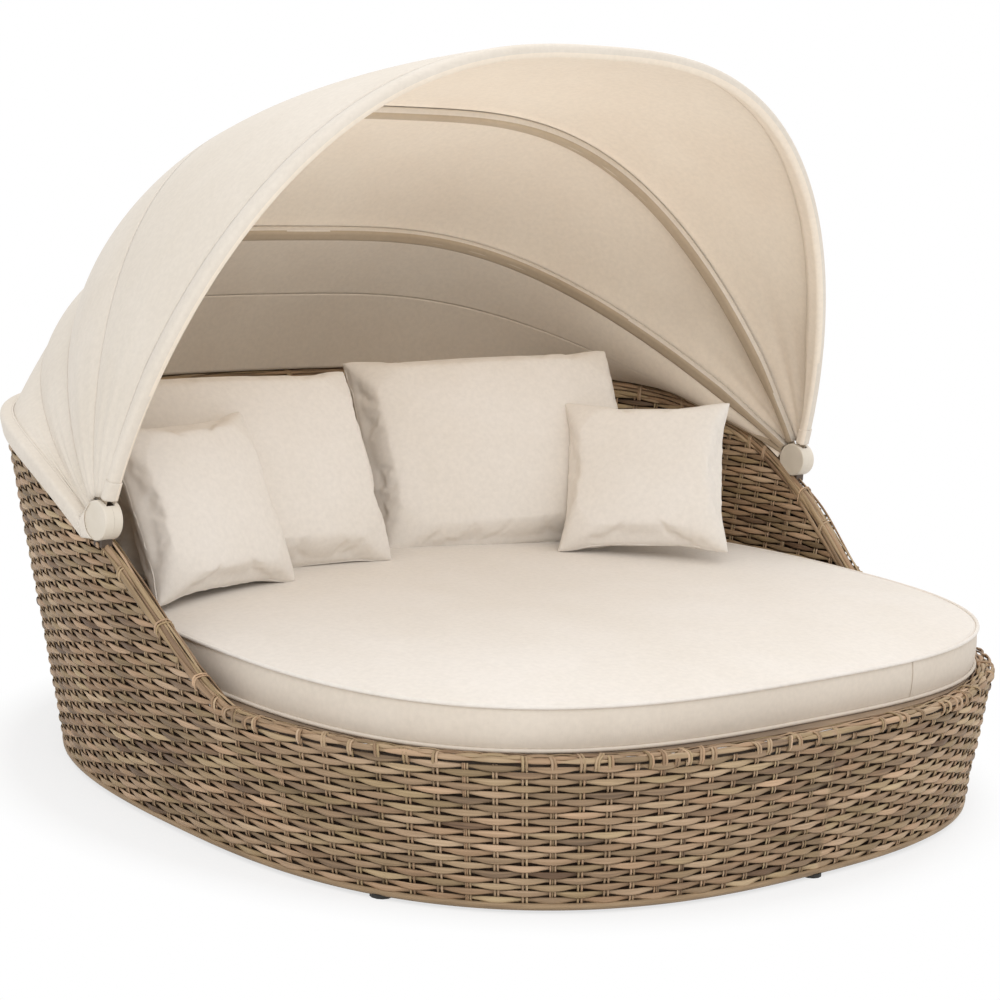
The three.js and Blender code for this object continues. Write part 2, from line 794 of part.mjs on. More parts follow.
// The rear hem lies over the border's outer edge, from hub to hub round the back
function rearHem() {
  const turns = ringTurns.filter((turn) => turn >= hemTurn && turn <= Math.PI - hemTurn);
  const grid = (grow) => turns.map((turn) => [
    rimPoint(turn, grow, -rearHemDrop),
    rimPoint(turn, grow, -borderRound + grow / 2),
    rimPoint(turn, -2 * borderRound + grow / 2, grow),
    rimPoint(turn, -rearHemTop, rearHemLift + grow),
  ]);
  return sheetBody(grid(gap + clothThickness), grid(gap));
}

// Cushions

function cushionPoint(turn, inset, height) {
  const across = Math.cos(turn);
  const along = Math.sin(turn);
  const isFront = along < 0;
  const power = 2 / (isFront ? cushionFrontRoundness : cushionBackRoundness);
  const depth = (isFront ? cushionFrontDepth : cushionBackDepth) - inset;
  return new THREE.Vector3(
    (cushionHalfWidth - inset) * Math.sign(across) * Math.abs(across) ** power,
    depth * Math.sign(along) * Math.abs(along) ** power - cushionForward,
    height,
  );
}

// A boxed cushion: piping round both edges, sides that draw in beside it, and a crown on top
function seatCushion() {
  const bottom = cushionBottom;
  const top = bottom + cushionSide;
  const middle = (bottom + top) / 2;
  const crownAt = (inset) => cushionCrown * (1 - (1 - inset / cushionHalfWidth) ** 3);
  const crownRing = (inset) => [inset, top + crownAt(inset)];
  const profile = [
    [4 * cushionCorner, bottom],
    [cushionPiping, bottom + cushionPiping / 2],
    [0, bottom + cushionPiping],
    [cushionPiping, bottom + 2 * cushionPiping],
    [cushionPiping - cushionSideSwell, middle],
    [cushionPiping, top - 2 * cushionPiping],
    [0, top - cushionPiping],
    [cushionPiping, top - cushionPiping / 2],
    crownRing(2 * cushionCorner),
    crownRing(cushionHalfWidth / 6),
    crownRing(cushionHalfWidth / 2),
  ];
  const rings = profile.map(([inset, height]) => ringTurns.map((turn) => cushionPoint(turn, inset, height)));
  const centre = (height) => new THREE.Vector3(0, -cushionForward, height);
  return polarBody(centre(bottom), rings, centre(top + cushionCrown));
}

// A stuffed pillow: full in the middle, thin at the seam, sides drawn in between the corners
const pillowCells = 10;
function pillow({ width, height, thickness, drawIn }) {
  const eased = shares(pillowCells).map((share) => Math.sin((share - 1 / 2) * Math.PI));
  const place = (u, v, face) => new THREE.Vector3(
    u * (width / 2 - drawIn * (1 - v * v)),
    v * (height / 2 - drawIn * (1 - u * u)),
    face * (thickness / 2) * Math.sqrt(Math.max(0, (1 - u * u) * (1 - v * v))) ** (3 / 4),
  );
  const positions = [];
  const addFace = (face) => {
    for (let row = 0; row < pillowCells; row += 1) {
      for (let column = 0; column < pillowCells; column += 1) {
        const [u, nextU, v, nextV] = [eased[row], eased[row + 1], eased[column], eased[column + 1]];
        const corners = [place(u, v, face), place(nextU, v, face), place(nextU, nextV, face), place(u, nextV, face)];
        const [a, b, c, d] = face > 0 ? corners : corners.reverse();
        positions.push(...flatten([a, b, c, a, c, d]));
      }
    }
  };
  addFace(1);
  addFace(-1);
  const geometry = new THREE.BufferGeometry();
  geometry.setAttribute('position', new THREE.Float32BufferAttribute(positions, 3));
  const merged = mergeVertices(geometry, gap / 10);
  merged.computeVertexNormals();
  return merged;
}

function pillowPlace({ size, placeShares: [across, behind, up] }) {
  const meanThickness = (largePillowThickness + smallPillowThickness) / 2;
  return new THREE.Vector3(
    across * largePillowWidth,
    pillowRowShare * cushionBackDepth + behind * meanThickness,
    cushionBottom + cushionSide + cushionCrown + up * size.height,
  );
}

// Assembly

function mesh(name, geometry, material) {
  const part = new THREE.Mesh(geometry, material);
  part.name = name;
  return part;
}

const sides = [['left', -1], ['right', 1]];

function frame() {
  const group = new THREE.Group();
  for (const [side, sign] of sides) {
    group.add(mesh(`floor_ring_${side}`, floorTube(sign), frameFinish));
  }
  group.add(mesh('seat_ring', seatRing(), frameFinish));
  group.add(mesh('top_rail', railRing(tubeRadius), frameFinish));
  group.add(mesh('seat_beam', seatBeam(), frameFinish));
  for (let index = 0; index < slatCount; index += 1) {
    group.add(mesh(`seat_slat_${index + 1}`, slat(index), frameFinish));
  }
  for (const [where, turn] of Object.entries(postTurns)) {
    for (const [side, sign] of sides) {
      group.add(mesh(`${where}_post_${side}`, post(sign > 0 ? turn : Math.PI - turn), frameFinish));
    }
  }
  const footCount = 6;
  loopShares(footCount).forEach((share, index) => {
    const pad = mesh(`foot_${index + 1}`, foot(), plasticFinish);
    const spot = shellPoint(share * fullTurn + quarterTurn / 3, 0, tubeOutset);
    pad.position.set(spot.x, spot.y, 0);
    group.add(pad);
  });
  return group;
}

function wovenShell() {
  const group = new THREE.Group();
  group.add(mesh('wicker_outer_skin', outerSkin(), wickerFinish));
  group.add(mesh('wicker_border', borderRing(), wickerFinish));
  group.add(mesh('wicker_inner_skin', innerSkin(), wickerFinish));
  group.add(mesh('wicker_seat_deck', seatDeck(), wickerFinish));
  return group;
}

function hub(side, sign) {
  const group = new THREE.Group();
  group.position.x = sign * hubX;
  group.add(mesh(`hub_clevis_${side}`, hubClevis(sign), hubFinish));
  group.add(mesh(`hub_cover_inner_${side}`, hubCover(-sign), hubFinish));
  group.add(mesh(`hub_cover_outer_${side}`, hubCover(sign), hubFinish));
  const bolt = mesh(`hub_bolt_${side}`, hubBolt(), steelFinish);
  const nut = mesh(`hub_nut_${side}`, hubNut(), steelFinish);
  const washers = [1, 2, 3].map((number) => {
    const ring = mesh(`hub_washer_${side}_${number}`, washer(), plasticFinish);
    ring.position.x = (number - bowCount / 2) * tangPitch;
    return ring;
  });
  group.add(bolt, nut, ...washers);
  return group;
}

// Everything that is measured from the hub axis
function canopy() {
  const group = new THREE.Group();
  group.position.set(0, hubBehindWidestLine, hubZ);
  for (const [side, sign] of sides) group.add(hub(side, sign));
  for (const bow of bows) {
    const arch = new THREE.Group();
    arch.rotation.x = bowTilt(bow);
    arch.add(mesh(`${bow.name}_bow`, bowBody(bow), hubFinish));
    const wrap = bow === frontBow
      ? mesh('canopy_front_hem', frontHem(), canopyFinish)
      : mesh(`${bow.name}_bow_sleeve`, sleeve(bow), canopyFinish);
    arch.add(wrap);
    group.add(arch);
  }
  const atBow = () => 0;
  const overBow = () => seamLift;
  const frontLine = seamLine(frontBow, (station) => seamLift - hemDropAt(station), hemWidthAt);
  const secondLine = seamLine(secondBow, overBow, atBow);
  const thirdLine = seamLine(thirdBow, overBow, atBow);
  const rearLine = seamLine(rearBow, overBow, atBow);
  const shellLine = rimLine(rearLine.length - 1);
  group.add(mesh('canopy_panel_front', panel(frontLine, secondLine, frontBillow), canopyFinish));
  group.add(mesh('canopy_panel_middle', panel(secondLine, thirdLine, middleBillow), canopyFinish));
  group.add(mesh('canopy_panel_back', panel(thirdLine, rearLine, backBillow), canopyFinish));
  group.add(mesh('canopy_panel_rear', panel(rearLine, shellLine, rearBillow), canopyFinish));
  return group;
}

function softGoods() {
  const group = new THREE.Group();
  group.add(mesh('seat_cushion', seatCushion(), cushionFinish));
  for (const item of pillows) {
    const part = mesh(item.name, pillow(item.size), cushionFinish);
    part.position.copy(pillowPlace(item));
    part.rotation.set(...item.tilt.map(radians), 'ZYX');
    group.add(part);
  }
  return group;
}

// The origin lies under the middle of the outline, so the widest line stands a little before it
const frontReach = shellPoint(-quarterTurn, frontRimHeight - borderRound, 0).y;
const hemReach = gap + clothThickness;
const backReach = rimPoint(quarterTurn, hemReach, -borderRound + hemReach / 2).y;

const daybed = new THREE.Group();
daybed.position.y = -(frontReach + backReach) / 2;
daybed.add(frame(), wovenShell(), canopy(), mesh('canopy_rear_hem', rearHem(), canopyFinish), softGoods());

export default daybed;
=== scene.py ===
import json
import math
import bpy
import numpy as np
from mathutils import Matrix, Vector, noise


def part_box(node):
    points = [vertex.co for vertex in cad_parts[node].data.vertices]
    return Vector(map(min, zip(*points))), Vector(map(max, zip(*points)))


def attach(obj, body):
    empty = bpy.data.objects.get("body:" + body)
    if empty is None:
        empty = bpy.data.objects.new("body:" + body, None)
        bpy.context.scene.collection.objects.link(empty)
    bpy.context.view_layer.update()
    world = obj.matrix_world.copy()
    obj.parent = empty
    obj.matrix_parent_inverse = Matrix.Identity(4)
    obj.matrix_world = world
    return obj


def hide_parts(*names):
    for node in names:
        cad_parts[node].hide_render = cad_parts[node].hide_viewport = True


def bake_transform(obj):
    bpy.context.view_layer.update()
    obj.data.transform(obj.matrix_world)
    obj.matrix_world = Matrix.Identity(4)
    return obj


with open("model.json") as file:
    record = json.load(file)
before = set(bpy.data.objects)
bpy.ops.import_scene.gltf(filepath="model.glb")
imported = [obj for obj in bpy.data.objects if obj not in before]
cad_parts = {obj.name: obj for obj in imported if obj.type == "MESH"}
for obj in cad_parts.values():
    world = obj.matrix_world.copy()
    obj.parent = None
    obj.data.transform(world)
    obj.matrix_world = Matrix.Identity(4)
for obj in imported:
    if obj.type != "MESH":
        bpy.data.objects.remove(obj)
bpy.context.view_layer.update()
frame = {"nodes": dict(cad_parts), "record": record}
bpy.ops.object.select_all(action="DESELECT")
mm = 0.001
print("frame loaded")

# Camera, at the photograph's viewing angle

view = dict(
    target=(-0.129, -0.1335, 0.617),
    distance=5.267,
    azimuth=-41.681,
    elevation=9.998,
    roll=-3.491,
    lens=88.14,
    sensor=36.0,
)


def addCamera():
    azimuth, elevation = math.radians(view["azimuth"]), math.radians(view["elevation"])
    back = Vector((
        math.sin(azimuth) * math.cos(elevation),
        -math.cos(azimuth) * math.cos(elevation),
        math.sin(elevation),
    ))
    level = Vector((math.cos(azimuth), math.sin(azimuth), 0))
    up = back.cross(level)
    roll = math.radians(view["roll"])
    right = level * math.cos(roll) - up * math.sin(roll)
    top = level * math.sin(roll) + up * math.cos(roll)
    bpy.ops.object.camera_add()
    camera = bpy.context.object
    camera.name = "photoCamera"
    camera.data.lens = view["lens"]
    camera.data.sensor_width = view["sensor"]
    turn = Matrix((right, top, back)).transposed().to_4x4()
    camera.matrix_world = Matrix.Translation(Vector(view["target"]) + back * view["distance"]) @ turn
    bpy.context.scene.camera = camera


addCamera()

# Colours and shader groups


def srgb(red, green, blue):
    shares = [value / 255 for value in (red, green, blue)]
    linear = [s / 12.92 if s <= 0.04045 else ((s + 0.055) / 1.055) ** 2.4 for s in shares]
    return (*linear, 1.0)


def newGroup(name, inputs, outputs):
    group = bpy.data.node_groups.new(name, "ShaderNodeTree")
    for label, kind, value in inputs:
        socket = group.interface.new_socket(label, in_out="INPUT", socket_type=kind)
        if value is not None:
            socket.default_value = value
    for label, kind in outputs:
        group.interface.new_socket(label, in_out="OUTPUT", socket_type=kind)
    return group, group.nodes.new("NodeGroupInput"), group.nodes.new("NodeGroupOutput")


def addNode(tree, kind, inputs=None, **settings):
    node = tree.nodes.new(kind)
    for key, value in settings.items():
        setattr(node, key, value)
    for key, value in (inputs or {}).items():
        if isinstance(value, bpy.types.NodeSocket):
            tree.links.new(value, node.inputs[key])
        else:
            node.inputs[key].default_value = value
    return node


def mathNode(tree, operation, first, second=0.0):
    return addNode(tree, "ShaderNodeMath", {0: first, 1: second}, operation=operation).outputs[0]


def mixColour(tree, factor, first, second, blend="MIX"):
    node = addNode(tree, "ShaderNodeMix", data_type="RGBA", blend_type=blend)
    for index, value in ((0, factor), (6, first), (7, second)):
        if isinstance(value, bpy.types.NodeSocket):
            tree.links.new(value, node.inputs[index])
        else:
            node.inputs[index].default_value = value
    return node.outputs[2]


def ramp(tree, factor, *stops):
    node = addNode(tree, "ShaderNodeValToRGB", {"Fac": factor})
    elements = node.color_ramp.elements
    while len(elements) < len(stops):
        elements.new(0.5)
    for element, (place, colour) in zip(elements, stops):
        element.position = place
        element.color = colour if isinstance(colour, tuple) else (colour, colour, colour, 1)
    return node.outputs["Color"]


# Raised threads along the three axes: each side of a piece shows two of them
def threadWeave():
    tree, start, end = newGroup(
        "threadWeave",
        [("Vector", "NodeSocketVector", None), ("Thread Scale", "NodeSocketFloat", 200.0)],
        [("Height", "NodeSocketFloat"), ("Slub", "NodeSocketFloat")],
    )
    total = 0.0
    for direction in ("X", "Y", "Z"):
        wave = addNode(
            tree,
            "ShaderNodeTexWave",
            {"Vector": start.outputs["Vector"], "Scale": start.outputs["Thread Scale"], "Distortion": 0.4},
            bands_direction=direction,
        )
        total = mathNode(tree, "ADD", wave.outputs["Fac"], total)
    slub = addNode(
        tree, "ShaderNodeTexNoise", {"Vector": start.outputs["Vector"], "Scale": 90.0, "Detail": 3.0}
    )
    tree.links.new(mathNode(tree, "MULTIPLY", total, 1 / 3), end.inputs["Height"])
    tree.links.new(slub.outputs["Fac"], end.inputs["Slub"])
    return tree


# Slow change of shade over a piece, with faint soiling in soft random patches
def softShade():
    tree, start, end = newGroup(
        "softShade",
        [
            ("Vector", "NodeSocketVector", None),
            ("Light", "NodeSocketColor", (1, 1, 1, 1)),
            ("Deep", "NodeSocketColor", (0.8, 0.8, 0.8, 1)),
            ("Patch Scale", "NodeSocketFloat", 3.0),
        ],
        [("Color", "NodeSocketColor")],
    )
    cloud = addNode(
        tree,
        "ShaderNodeTexNoise",
        {
            "Vector": start.outputs["Vector"],
            "Scale": start.outputs["Patch Scale"],
            "Detail": 5.0,
            "Roughness": 0.6,
        },
    )
    share = ramp(tree, cloud.outputs["Fac"], (0.35, 0.0), (0.68, 1.0))
    colour = mixColour(tree, share, start.outputs["Deep"], start.outputs["Light"])
    tree.links.new(colour, end.inputs["Color"])
    return tree


# Long fine streaks of an extruded resin strand, with a different shade on each strand
def strandGrain():
    tree, start, end = newGroup(
        "strandGrain",
        [
            ("Strand UV", "NodeSocketVector", None),
            ("Tone", "NodeSocketFloat", 0.5),
            ("Pale", "NodeSocketColor", (1, 1, 1, 1)),
            ("Middle", "NodeSocketColor", (1, 1, 1, 1)),
            ("Deep", "NodeSocketColor", (1, 1, 1, 1)),
        ],
        [("Color", "NodeSocketColor"), ("Height", "NodeSocketFloat"), ("Gloss", "NodeSocketFloat")],
    )

    def streaks(stretch, detail):
        place = {"Vector": start.outputs["Strand UV"], "Scale": stretch}
        stretched = addNode(tree, "ShaderNodeMapping", place).outputs[0]
        return addNode(tree, "ShaderNodeTexNoise", {"Vector": stretched, "Scale": 1.0, "Detail": detail})

    fine, broad = streaks((14.0, 1500.0, 1.0), 4.0), streaks((9.0, 260.0, 1.0), 2.0)
    drift = mathNode(tree, "MULTIPLY", broad.outputs["Fac"], 0.7)
    shade = mathNode(tree, "SUBTRACT", mathNode(tree, "ADD", start.outputs["Tone"], drift), 0.35)
    dark, light = ramp(tree, shade, (0.0, 0.0), (0.5, 1.0)), ramp(tree, shade, (0.5, 0.0), (1.0, 1.0))
    lower = mixColour(tree, dark, start.outputs["Deep"], start.outputs["Middle"])
    both = mixColour(tree, light, lower, start.outputs["Pale"])
    streak = ramp(tree, fine.outputs["Fac"], (0.3, 0.72), (0.6, 1.0))
    hueStep = mathNode(tree, "FRACT", mathNode(tree, "MULTIPLY", start.outputs["Tone"], 17.0))
    hue = ramp(tree, hueStep, (0.0, (1.0, 0.93, 0.88, 1)), (0.5, (1, 1, 1, 1)), (1.0, (0.96, 1.0, 0.88, 1)))
    tinted = mixColour(tree, 1.0, both, hue, "MULTIPLY")
    tree.links.new(mixColour(tree, 1.0, tinted, streak, "MULTIPLY"), end.inputs["Color"])
    tree.links.new(fine.outputs["Fac"], end.inputs["Height"])
    tree.links.new(mathNode(tree, "MULTIPLY", fine.outputs["Fac"], 0.25), end.inputs["Gloss"])
    return tree


threads, shading, grain = threadWeave(), softShade(), strandGrain()


def newMaterial(name):
    material = bpy.data.materials.new(name)
    material.use_nodes = True
    tree = material.node_tree
    return material, tree, tree.nodes["Principled BSDF"]


def placeGroup(tree, group, **inputs):
    node = addNode(tree, "ShaderNodeGroup", node_tree=group)
    for key, value in inputs.items():
        label = key.replace("_", " ")
        if isinstance(value, bpy.types.NodeSocket):
            tree.links.new(value, node.inputs[label])
        else:
            node.inputs[label].default_value = value
    return node


def addBump(tree, shader, height, strength, distance):
    bump = addNode(tree, "ShaderNodeBump", {"Height": height, "Strength": strength, "Distance": distance})
    tree.links.new(bump.outputs[0], shader.inputs["Normal"])


def clothMaterial(name, light, deep, threadScale=240.0, bump=0.35, roughness=0.88, sheen=0.15, patch=2.5):
    material, tree, shader = newMaterial(name)
    place = addNode(tree, "ShaderNodeTexCoord").outputs["Object"]
    weave = placeGroup(tree, threads, Vector=place, Thread_Scale=threadScale)
    shade = placeGroup(tree, shading, Vector=place, Light=light, Deep=deep, Patch_Scale=patch)
    slub = ramp(tree, weave.outputs["Slub"], (0.3, 0.94), (0.7, 1.0))
    colour = mixColour(tree, 1.0, shade.outputs["Color"], slub, "MULTIPLY")
    tree.links.new(colour, shader.inputs["Base Color"])
    addBump(tree, shader, weave.outputs["Height"], bump, 0.3 * mm)
    shader.inputs["Roughness"].default_value = roughness
    shader.inputs["Sheen Weight"].default_value = sheen
    shader.inputs["Specular IOR Level"].default_value = 0.25
    return material


def wickerMaterial(name, pale, middle, deep):
    material, tree, shader = newMaterial(name)
    strandMap = addNode(tree, "ShaderNodeUVMap", uv_map="strandMap").outputs[0]
    tone = addNode(tree, "ShaderNodeAttribute", attribute_name="tone").outputs["Fac"]
    streaks = placeGroup(tree, grain, Strand_UV=strandMap, Tone=tone, Pale=pale, Middle=middle, Deep=deep)
    tree.links.new(streaks.outputs["Color"], shader.inputs["Base Color"])
    addBump(tree, shader, streaks.outputs["Height"], 0.5, 0.4 * mm)
    tree.links.new(mathNode(tree, "ADD", streaks.outputs["Gloss"], 0.42), shader.inputs["Roughness"])
    shader.inputs["Specular IOR Level"].default_value = 0.35
    return material


def paintMaterial(name, light, deep, roughness, metallic=0.0, patch=8.0, grainScale=900.0, bump=0.08):
    material, tree, shader = newMaterial(name)
    place = addNode(tree, "ShaderNodeTexCoord").outputs["Object"]
    shade = placeGroup(tree, shading, Vector=place, Light=light, Deep=deep, Patch_Scale=patch)
    speck = addNode(tree, "ShaderNodeTexNoise", {"Vector": place, "Scale": grainScale, "Detail": 2.0})
    tree.links.new(shade.outputs["Color"], shader.inputs["Base Color"])
    addBump(tree, shader, speck.outputs["Fac"], bump, 0.2 * mm)
    gloss = mathNode(tree, "MULTIPLY", speck.outputs["Fac"], 0.12)
    tree.links.new(mathNode(tree, "ADD", gloss, roughness - 0.06), shader.inputs["Roughness"])
    shader.inputs["Metallic"].default_value = metallic
    return material


finishes = dict(
    wicker=wickerMaterial("wovenResin", srgb(208, 180, 150), srgb(168, 141, 112), srgb(110, 89, 70)),
    frame=paintMaterial("frameCoat", srgb(92, 76, 62), srgb(74, 60, 48), 0.5),
    foot=paintMaterial("footRubber", srgb(44, 42, 40), srgb(34, 32, 30), 0.6),
    hub=paintMaterial("hubShell", srgb(226, 217, 203), srgb(216, 206, 190), 0.45),
    steel=paintMaterial("boltSteel", srgb(190, 190, 188), srgb(160, 160, 158), 0.3, metallic=1.0),
    bow=paintMaterial("bowCoat", srgb(206, 190, 168), srgb(192, 175, 152), 0.45),
    canopy=clothMaterial("canopyCloth", srgb(231, 222, 210), srgb(225, 215, 201)),
    # Painted light: a lighter copy of the canopy cloth for the canopy's inner faces, standing in for the
    # light that shines through the cloth into the inside
    liningAndPaintedLight=clothMaterial("canopyInsidePaintedLight", srgb(246, 234, 217), srgb(241, 227, 209)),
    # Painted shade: a darker copy of the canopy cloth for the inner faces of the bow pockets, which face down
    pocket=clothMaterial("pocketInsidePaintedShade", srgb(192, 174, 150), srgb(182, 163, 139)),
    cushion=clothMaterial("cushionCloth", srgb(238, 231, 223), srgb(233, 225, 215)),
    # Painted shade: a darker copy of the cushion cloth for the cushion's upright sides, bottom piping and
    # side seam
    cushionPaintedShade=clothMaterial("cushionClothPaintedShade", srgb(226, 215, 201), srgb(219, 207, 192)),
    # Painted shade: near-black resin for the sheet behind the weave, standing in for the wall's unlit hollow
    paintedShadeSheet=clothMaterial(
        "paintedShadeResin", srgb(66, 50, 38), srgb(46, 34, 26), threadScale=60.0, roughness=0.9, sheen=0.0
    ),
    deck=clothMaterial(
        "deckResin", srgb(160, 134, 106), srgb(104, 84, 64), threadScale=45.0, bump=1.0, roughness=0.6
    ),
)
print("finishes made")


def finishPiece(piece, finish, body="base", replaced=()):
    piece.data.materials.clear()
    piece.data.materials.append(finishes[finish])
    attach(piece, body)
    if replaced:
        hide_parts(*replaced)
    return piece


def newObject(name, mesh):
    piece = bpy.data.objects.new(name, mesh)
    bpy.context.scene.collection.objects.link(piece)
    return piece


def applyModifier(piece, change):
    bpy.context.view_layer.objects.active = piece
    bpy.ops.object.modifier_apply(modifier=change.name)


for part in frame["record"]["subparts"]:
    cadNode = frame["nodes"][part["node"]]
    cadNode.data.materials.clear()
    worn = "deck" if part["material_slot"] == "wicker" else part["material_slot"]
    if "clevis" in part["node"]:
        worn = "frame"
    cadNode.data.materials.append(finishes[worn])

# The shell's outline, as it stands on the floor

shell = dict(
    halfWidth=0.921,
    frontDepth=0.864,
    backDepth=1.010,
    frontRoundness=2.6,
    backRoundness=2.58,
    sideFlare=0.195,
    frontFlare=0.07,
    backFlare=0.19,
    frontRim=0.304,
    backRim=0.741,
    climbStart=0.228,
    climbEnd=1.030,
    climbEaseOut=3.76,
    climbEaseIn=1.83,
    wall=0.042,
    hubBehind=0.174,
)
boltLow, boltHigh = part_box("hub_bolt_right")
hubX, hubY, hubZ = (boltLow + boltHigh) / 2
shellY = hubY - shell["hubBehind"]


def wallPoint(turn, height, outset):
    turn, height = np.asarray(turn, float), np.asarray(height, float)
    across, along = np.cos(turn), np.sin(turn)
    isFront = along < 0
    halfWidth = shell["halfWidth"] + shell["sideFlare"] * height + outset
    front = shell["frontDepth"] + shell["frontFlare"] * height
    rear = shell["backDepth"] + shell["backFlare"] * height
    depth = np.where(isFront, front, rear) + outset
    power = 2 / np.where(isFront, shell["frontRoundness"], shell["backRoundness"])
    x = halfWidth * np.sign(across) * np.abs(across) ** power
    y = depth * np.sign(along) * np.abs(along) ** power + shellY
    return np.stack(np.broadcast_arrays(x, y, height), -1)


def rimHeight(turn):
    height = np.full(np.shape(turn), shell["frontRim"])
    for step in range(24):
        y = wallPoint(turn, height, -shell["wall"] / 2)[..., 1] - shellY
        climb = np.clip((y + shell["climbStart"]) / (shell["climbStart"] + shell["climbEnd"]), 0, 1)
        eased = (1 - (1 - climb) ** shell["climbEaseOut"]) ** shell["climbEaseIn"]
        height = shell["frontRim"] + (shell["backRim"] - shell["frontRim"]) * eased
    return height


def rimPoint(turn, outset, rise):
    return wallPoint(turn, rimHeight(turn) + rise, outset)


# Strands, gathered in piles that become one mesh each

def newPile():
    return dict(points=[], faces=[], uvs=[], tones=[], count=0)


def unit(vectors):
    return vectors / np.maximum(np.linalg.norm(vectors, axis=-1, keepdims=True), 1e-9)


def lengthAlong(points):
    return np.concatenate([[0], np.cumsum(np.linalg.norm(np.diff(points, axis=0), axis=1))])


def evenlySpaced(points, count):
    length = lengthAlong(points)
    spaced = np.linspace(0, length[-1], count)
    return np.stack([np.interp(spaced, length, points[:, k]) for k in range(3)], -1)


def ringOf(sides):
    return [(math.cos(angle), math.sin(angle)) for angle in (k * 2 * math.pi / sides for k in range(sides))]


weaver = [(-1, 0), (-0.58, 0.8), (0.08, 1), (0.62, 0.72), (1, 0), (0.05, -0.6)]
roundStrand, stakeStrand = ringOf(6), ringOf(4)


# A tube along a line, with a UV in metres along and round it, and one shade
def addStrand(pile, centre, outward, halfWidth, halfDepth, tone, section, closed=False, uvStart=0.0):
    count, size = len(centre), len(section)
    if closed:
        along = unit(np.roll(centre, -1, 0) - np.roll(centre, 1, 0))
    else:
        along = unit(np.gradient(centre, axis=0))
    outward = unit(outward - along * np.sum(outward * along, -1, keepdims=True))
    across = np.cross(outward, along)
    side = np.array([point[0] for point in section])
    out = np.array([point[1] for point in section])
    wide = np.broadcast_to(halfWidth, (count,))[:, None, None]
    deep = np.broadcast_to(halfDepth, (count,))[:, None, None]
    points = centre[:, None] + across[:, None] * wide * side[None, :, None]
    points = points + outward[:, None] * deep * out[None, :, None]
    rows = np.arange(count if closed else count - 1)
    here, after = rows * size, (rows + 1) % count * size
    corner = np.arange(size)
    nextCorner = (corner + 1) % size
    here, after = here[:, None], after[:, None]
    sides = [here + corner, here + nextCorner, after + nextCorner, after + corner]
    faces = np.stack(sides, -1).reshape(-1, 4)
    length = lengthAlong(centre)
    if closed:
        length = np.append(length, length[-1] + np.linalg.norm(centre[0] - centre[-1]))
    girth = 2 * float(np.max(halfWidth)) * (np.arange(size + 1) / size) + uvStart

    def spread(values):
        return np.broadcast_to(values, (len(rows), size))

    u0, u1 = spread(length[rows][:, None]), spread(length[rows + 1][:, None])
    v0, v1 = spread(girth[:-1]), spread(girth[1:])
    uvs = np.stack([u0, v0, u0, v1, u1, v1, u1, v0], -1).reshape(-1, 4, 2)
    if not closed:
        last = (count - 1) * size
        caps = []
        for k in range(1, size - 2, 2):
            caps.append([0, k + 2, k + 1, k])
            caps.append([last, last + k, last + k + 1, last + k + 2])
        if size % 2:
            caps.append([0, size - 1, size - 2, size - 3])
            caps.append([last, last + size - 3, last + size - 2, last + size - 1])
        faces = np.vstack([faces, caps])
        uvs = np.concatenate([uvs, np.zeros((len(caps), 4, 2)) + uvStart])
    first = points[faces[0] // size, faces[0] % size]
    normal = np.cross(first[1] - first[0], first[2] - first[1])
    if np.dot(normal, first.mean(0) - centre[:2].mean(0)) < 0:
        faces, uvs = faces[:, ::-1], uvs[:, ::-1]
    pile["points"].append(points.reshape(-1, 3))
    pile["faces"].append(faces + pile["count"])
    pile["uvs"].append(uvs)
    pile["tones"].append(np.repeat(np.broadcast_to(tone, (count,)), size))
    pile["count"] += count * size


def meshFromArrays(name, points, faces, uvs=None, tones=None):
    mesh = bpy.data.meshes.new(name)
    mesh.vertices.add(len(points))
    mesh.vertices.foreach_set("co", np.ascontiguousarray(points, np.float32).ravel())
    mesh.loops.add(faces.size)
    mesh.loops.foreach_set("vertex_index", np.ascontiguousarray(faces, np.int32).ravel())
    mesh.polygons.add(len(faces))
    mesh.polygons.foreach_set("loop_start", np.arange(len(faces), dtype=np.int32) * faces.shape[1])
    mesh.update(calc_edges=True)
    mesh.validate()
    if uvs is not None:
        layer = mesh.uv_layers.new(name="strandMap")
        layer.data.foreach_set("uv", np.ascontiguousarray(uvs, np.float32).ravel())
    if tones is not None:
        attribute = mesh.attributes.new("tone", "FLOAT", "POINT")
        attribute.data.foreach_set("value", np.ascontiguousarray(tones, np.float32))
    mesh.shade_smooth()
    return newObject(name, mesh)


def pileTriangles(pile):
    return 2 * sum(len(faces) for faces in pile["faces"])


def pieceFromPile(name, pile, replaced):
    piece = meshFromArrays(
        name,
        np.vstack(pile["points"]),
        np.vstack(pile["faces"]),
        np.concatenate(pile["uvs"]),
        np.concatenate(pile["tones"]),
    )
    return finishPiece(piece, "wicker", replaced=[replaced])


# Woven walls: flat weavers pass before one pair of stakes and behind the next

weave = dict(
    stakeGap=0.0535,
    rowGap=13 * mm,
    firstRow=26 * mm,
    samples=8,
    outerMiddle=-4.6 * mm,
    innerMiddle=-37.4 * mm,
    swing=4.0 * mm,
    stakeSwing=1.5 * mm,
    leafHalf=7.0 * mm,
    tipHalf=3.4 * mm,
    halfDepth=1.7 * mm,
    stakeRadius=2.3 * mm,
    pairHalfGap=3.4 * mm,
    underBorder=22 * mm,
    underCrown=7 * mm,
    innerBottom=0.300,
    innerEnds=(-9, 189),
    unevenLift=0.7 * mm,
    unevenSwing=0.6 * mm,
    unevenRow=0.5 * mm,
    stakeEnd=6 * mm,
    tripleShare=0.3,
    tripleRadius=0.85,
    stakeFlatness=0.8,
    trianglesPerPiece=185000,
)


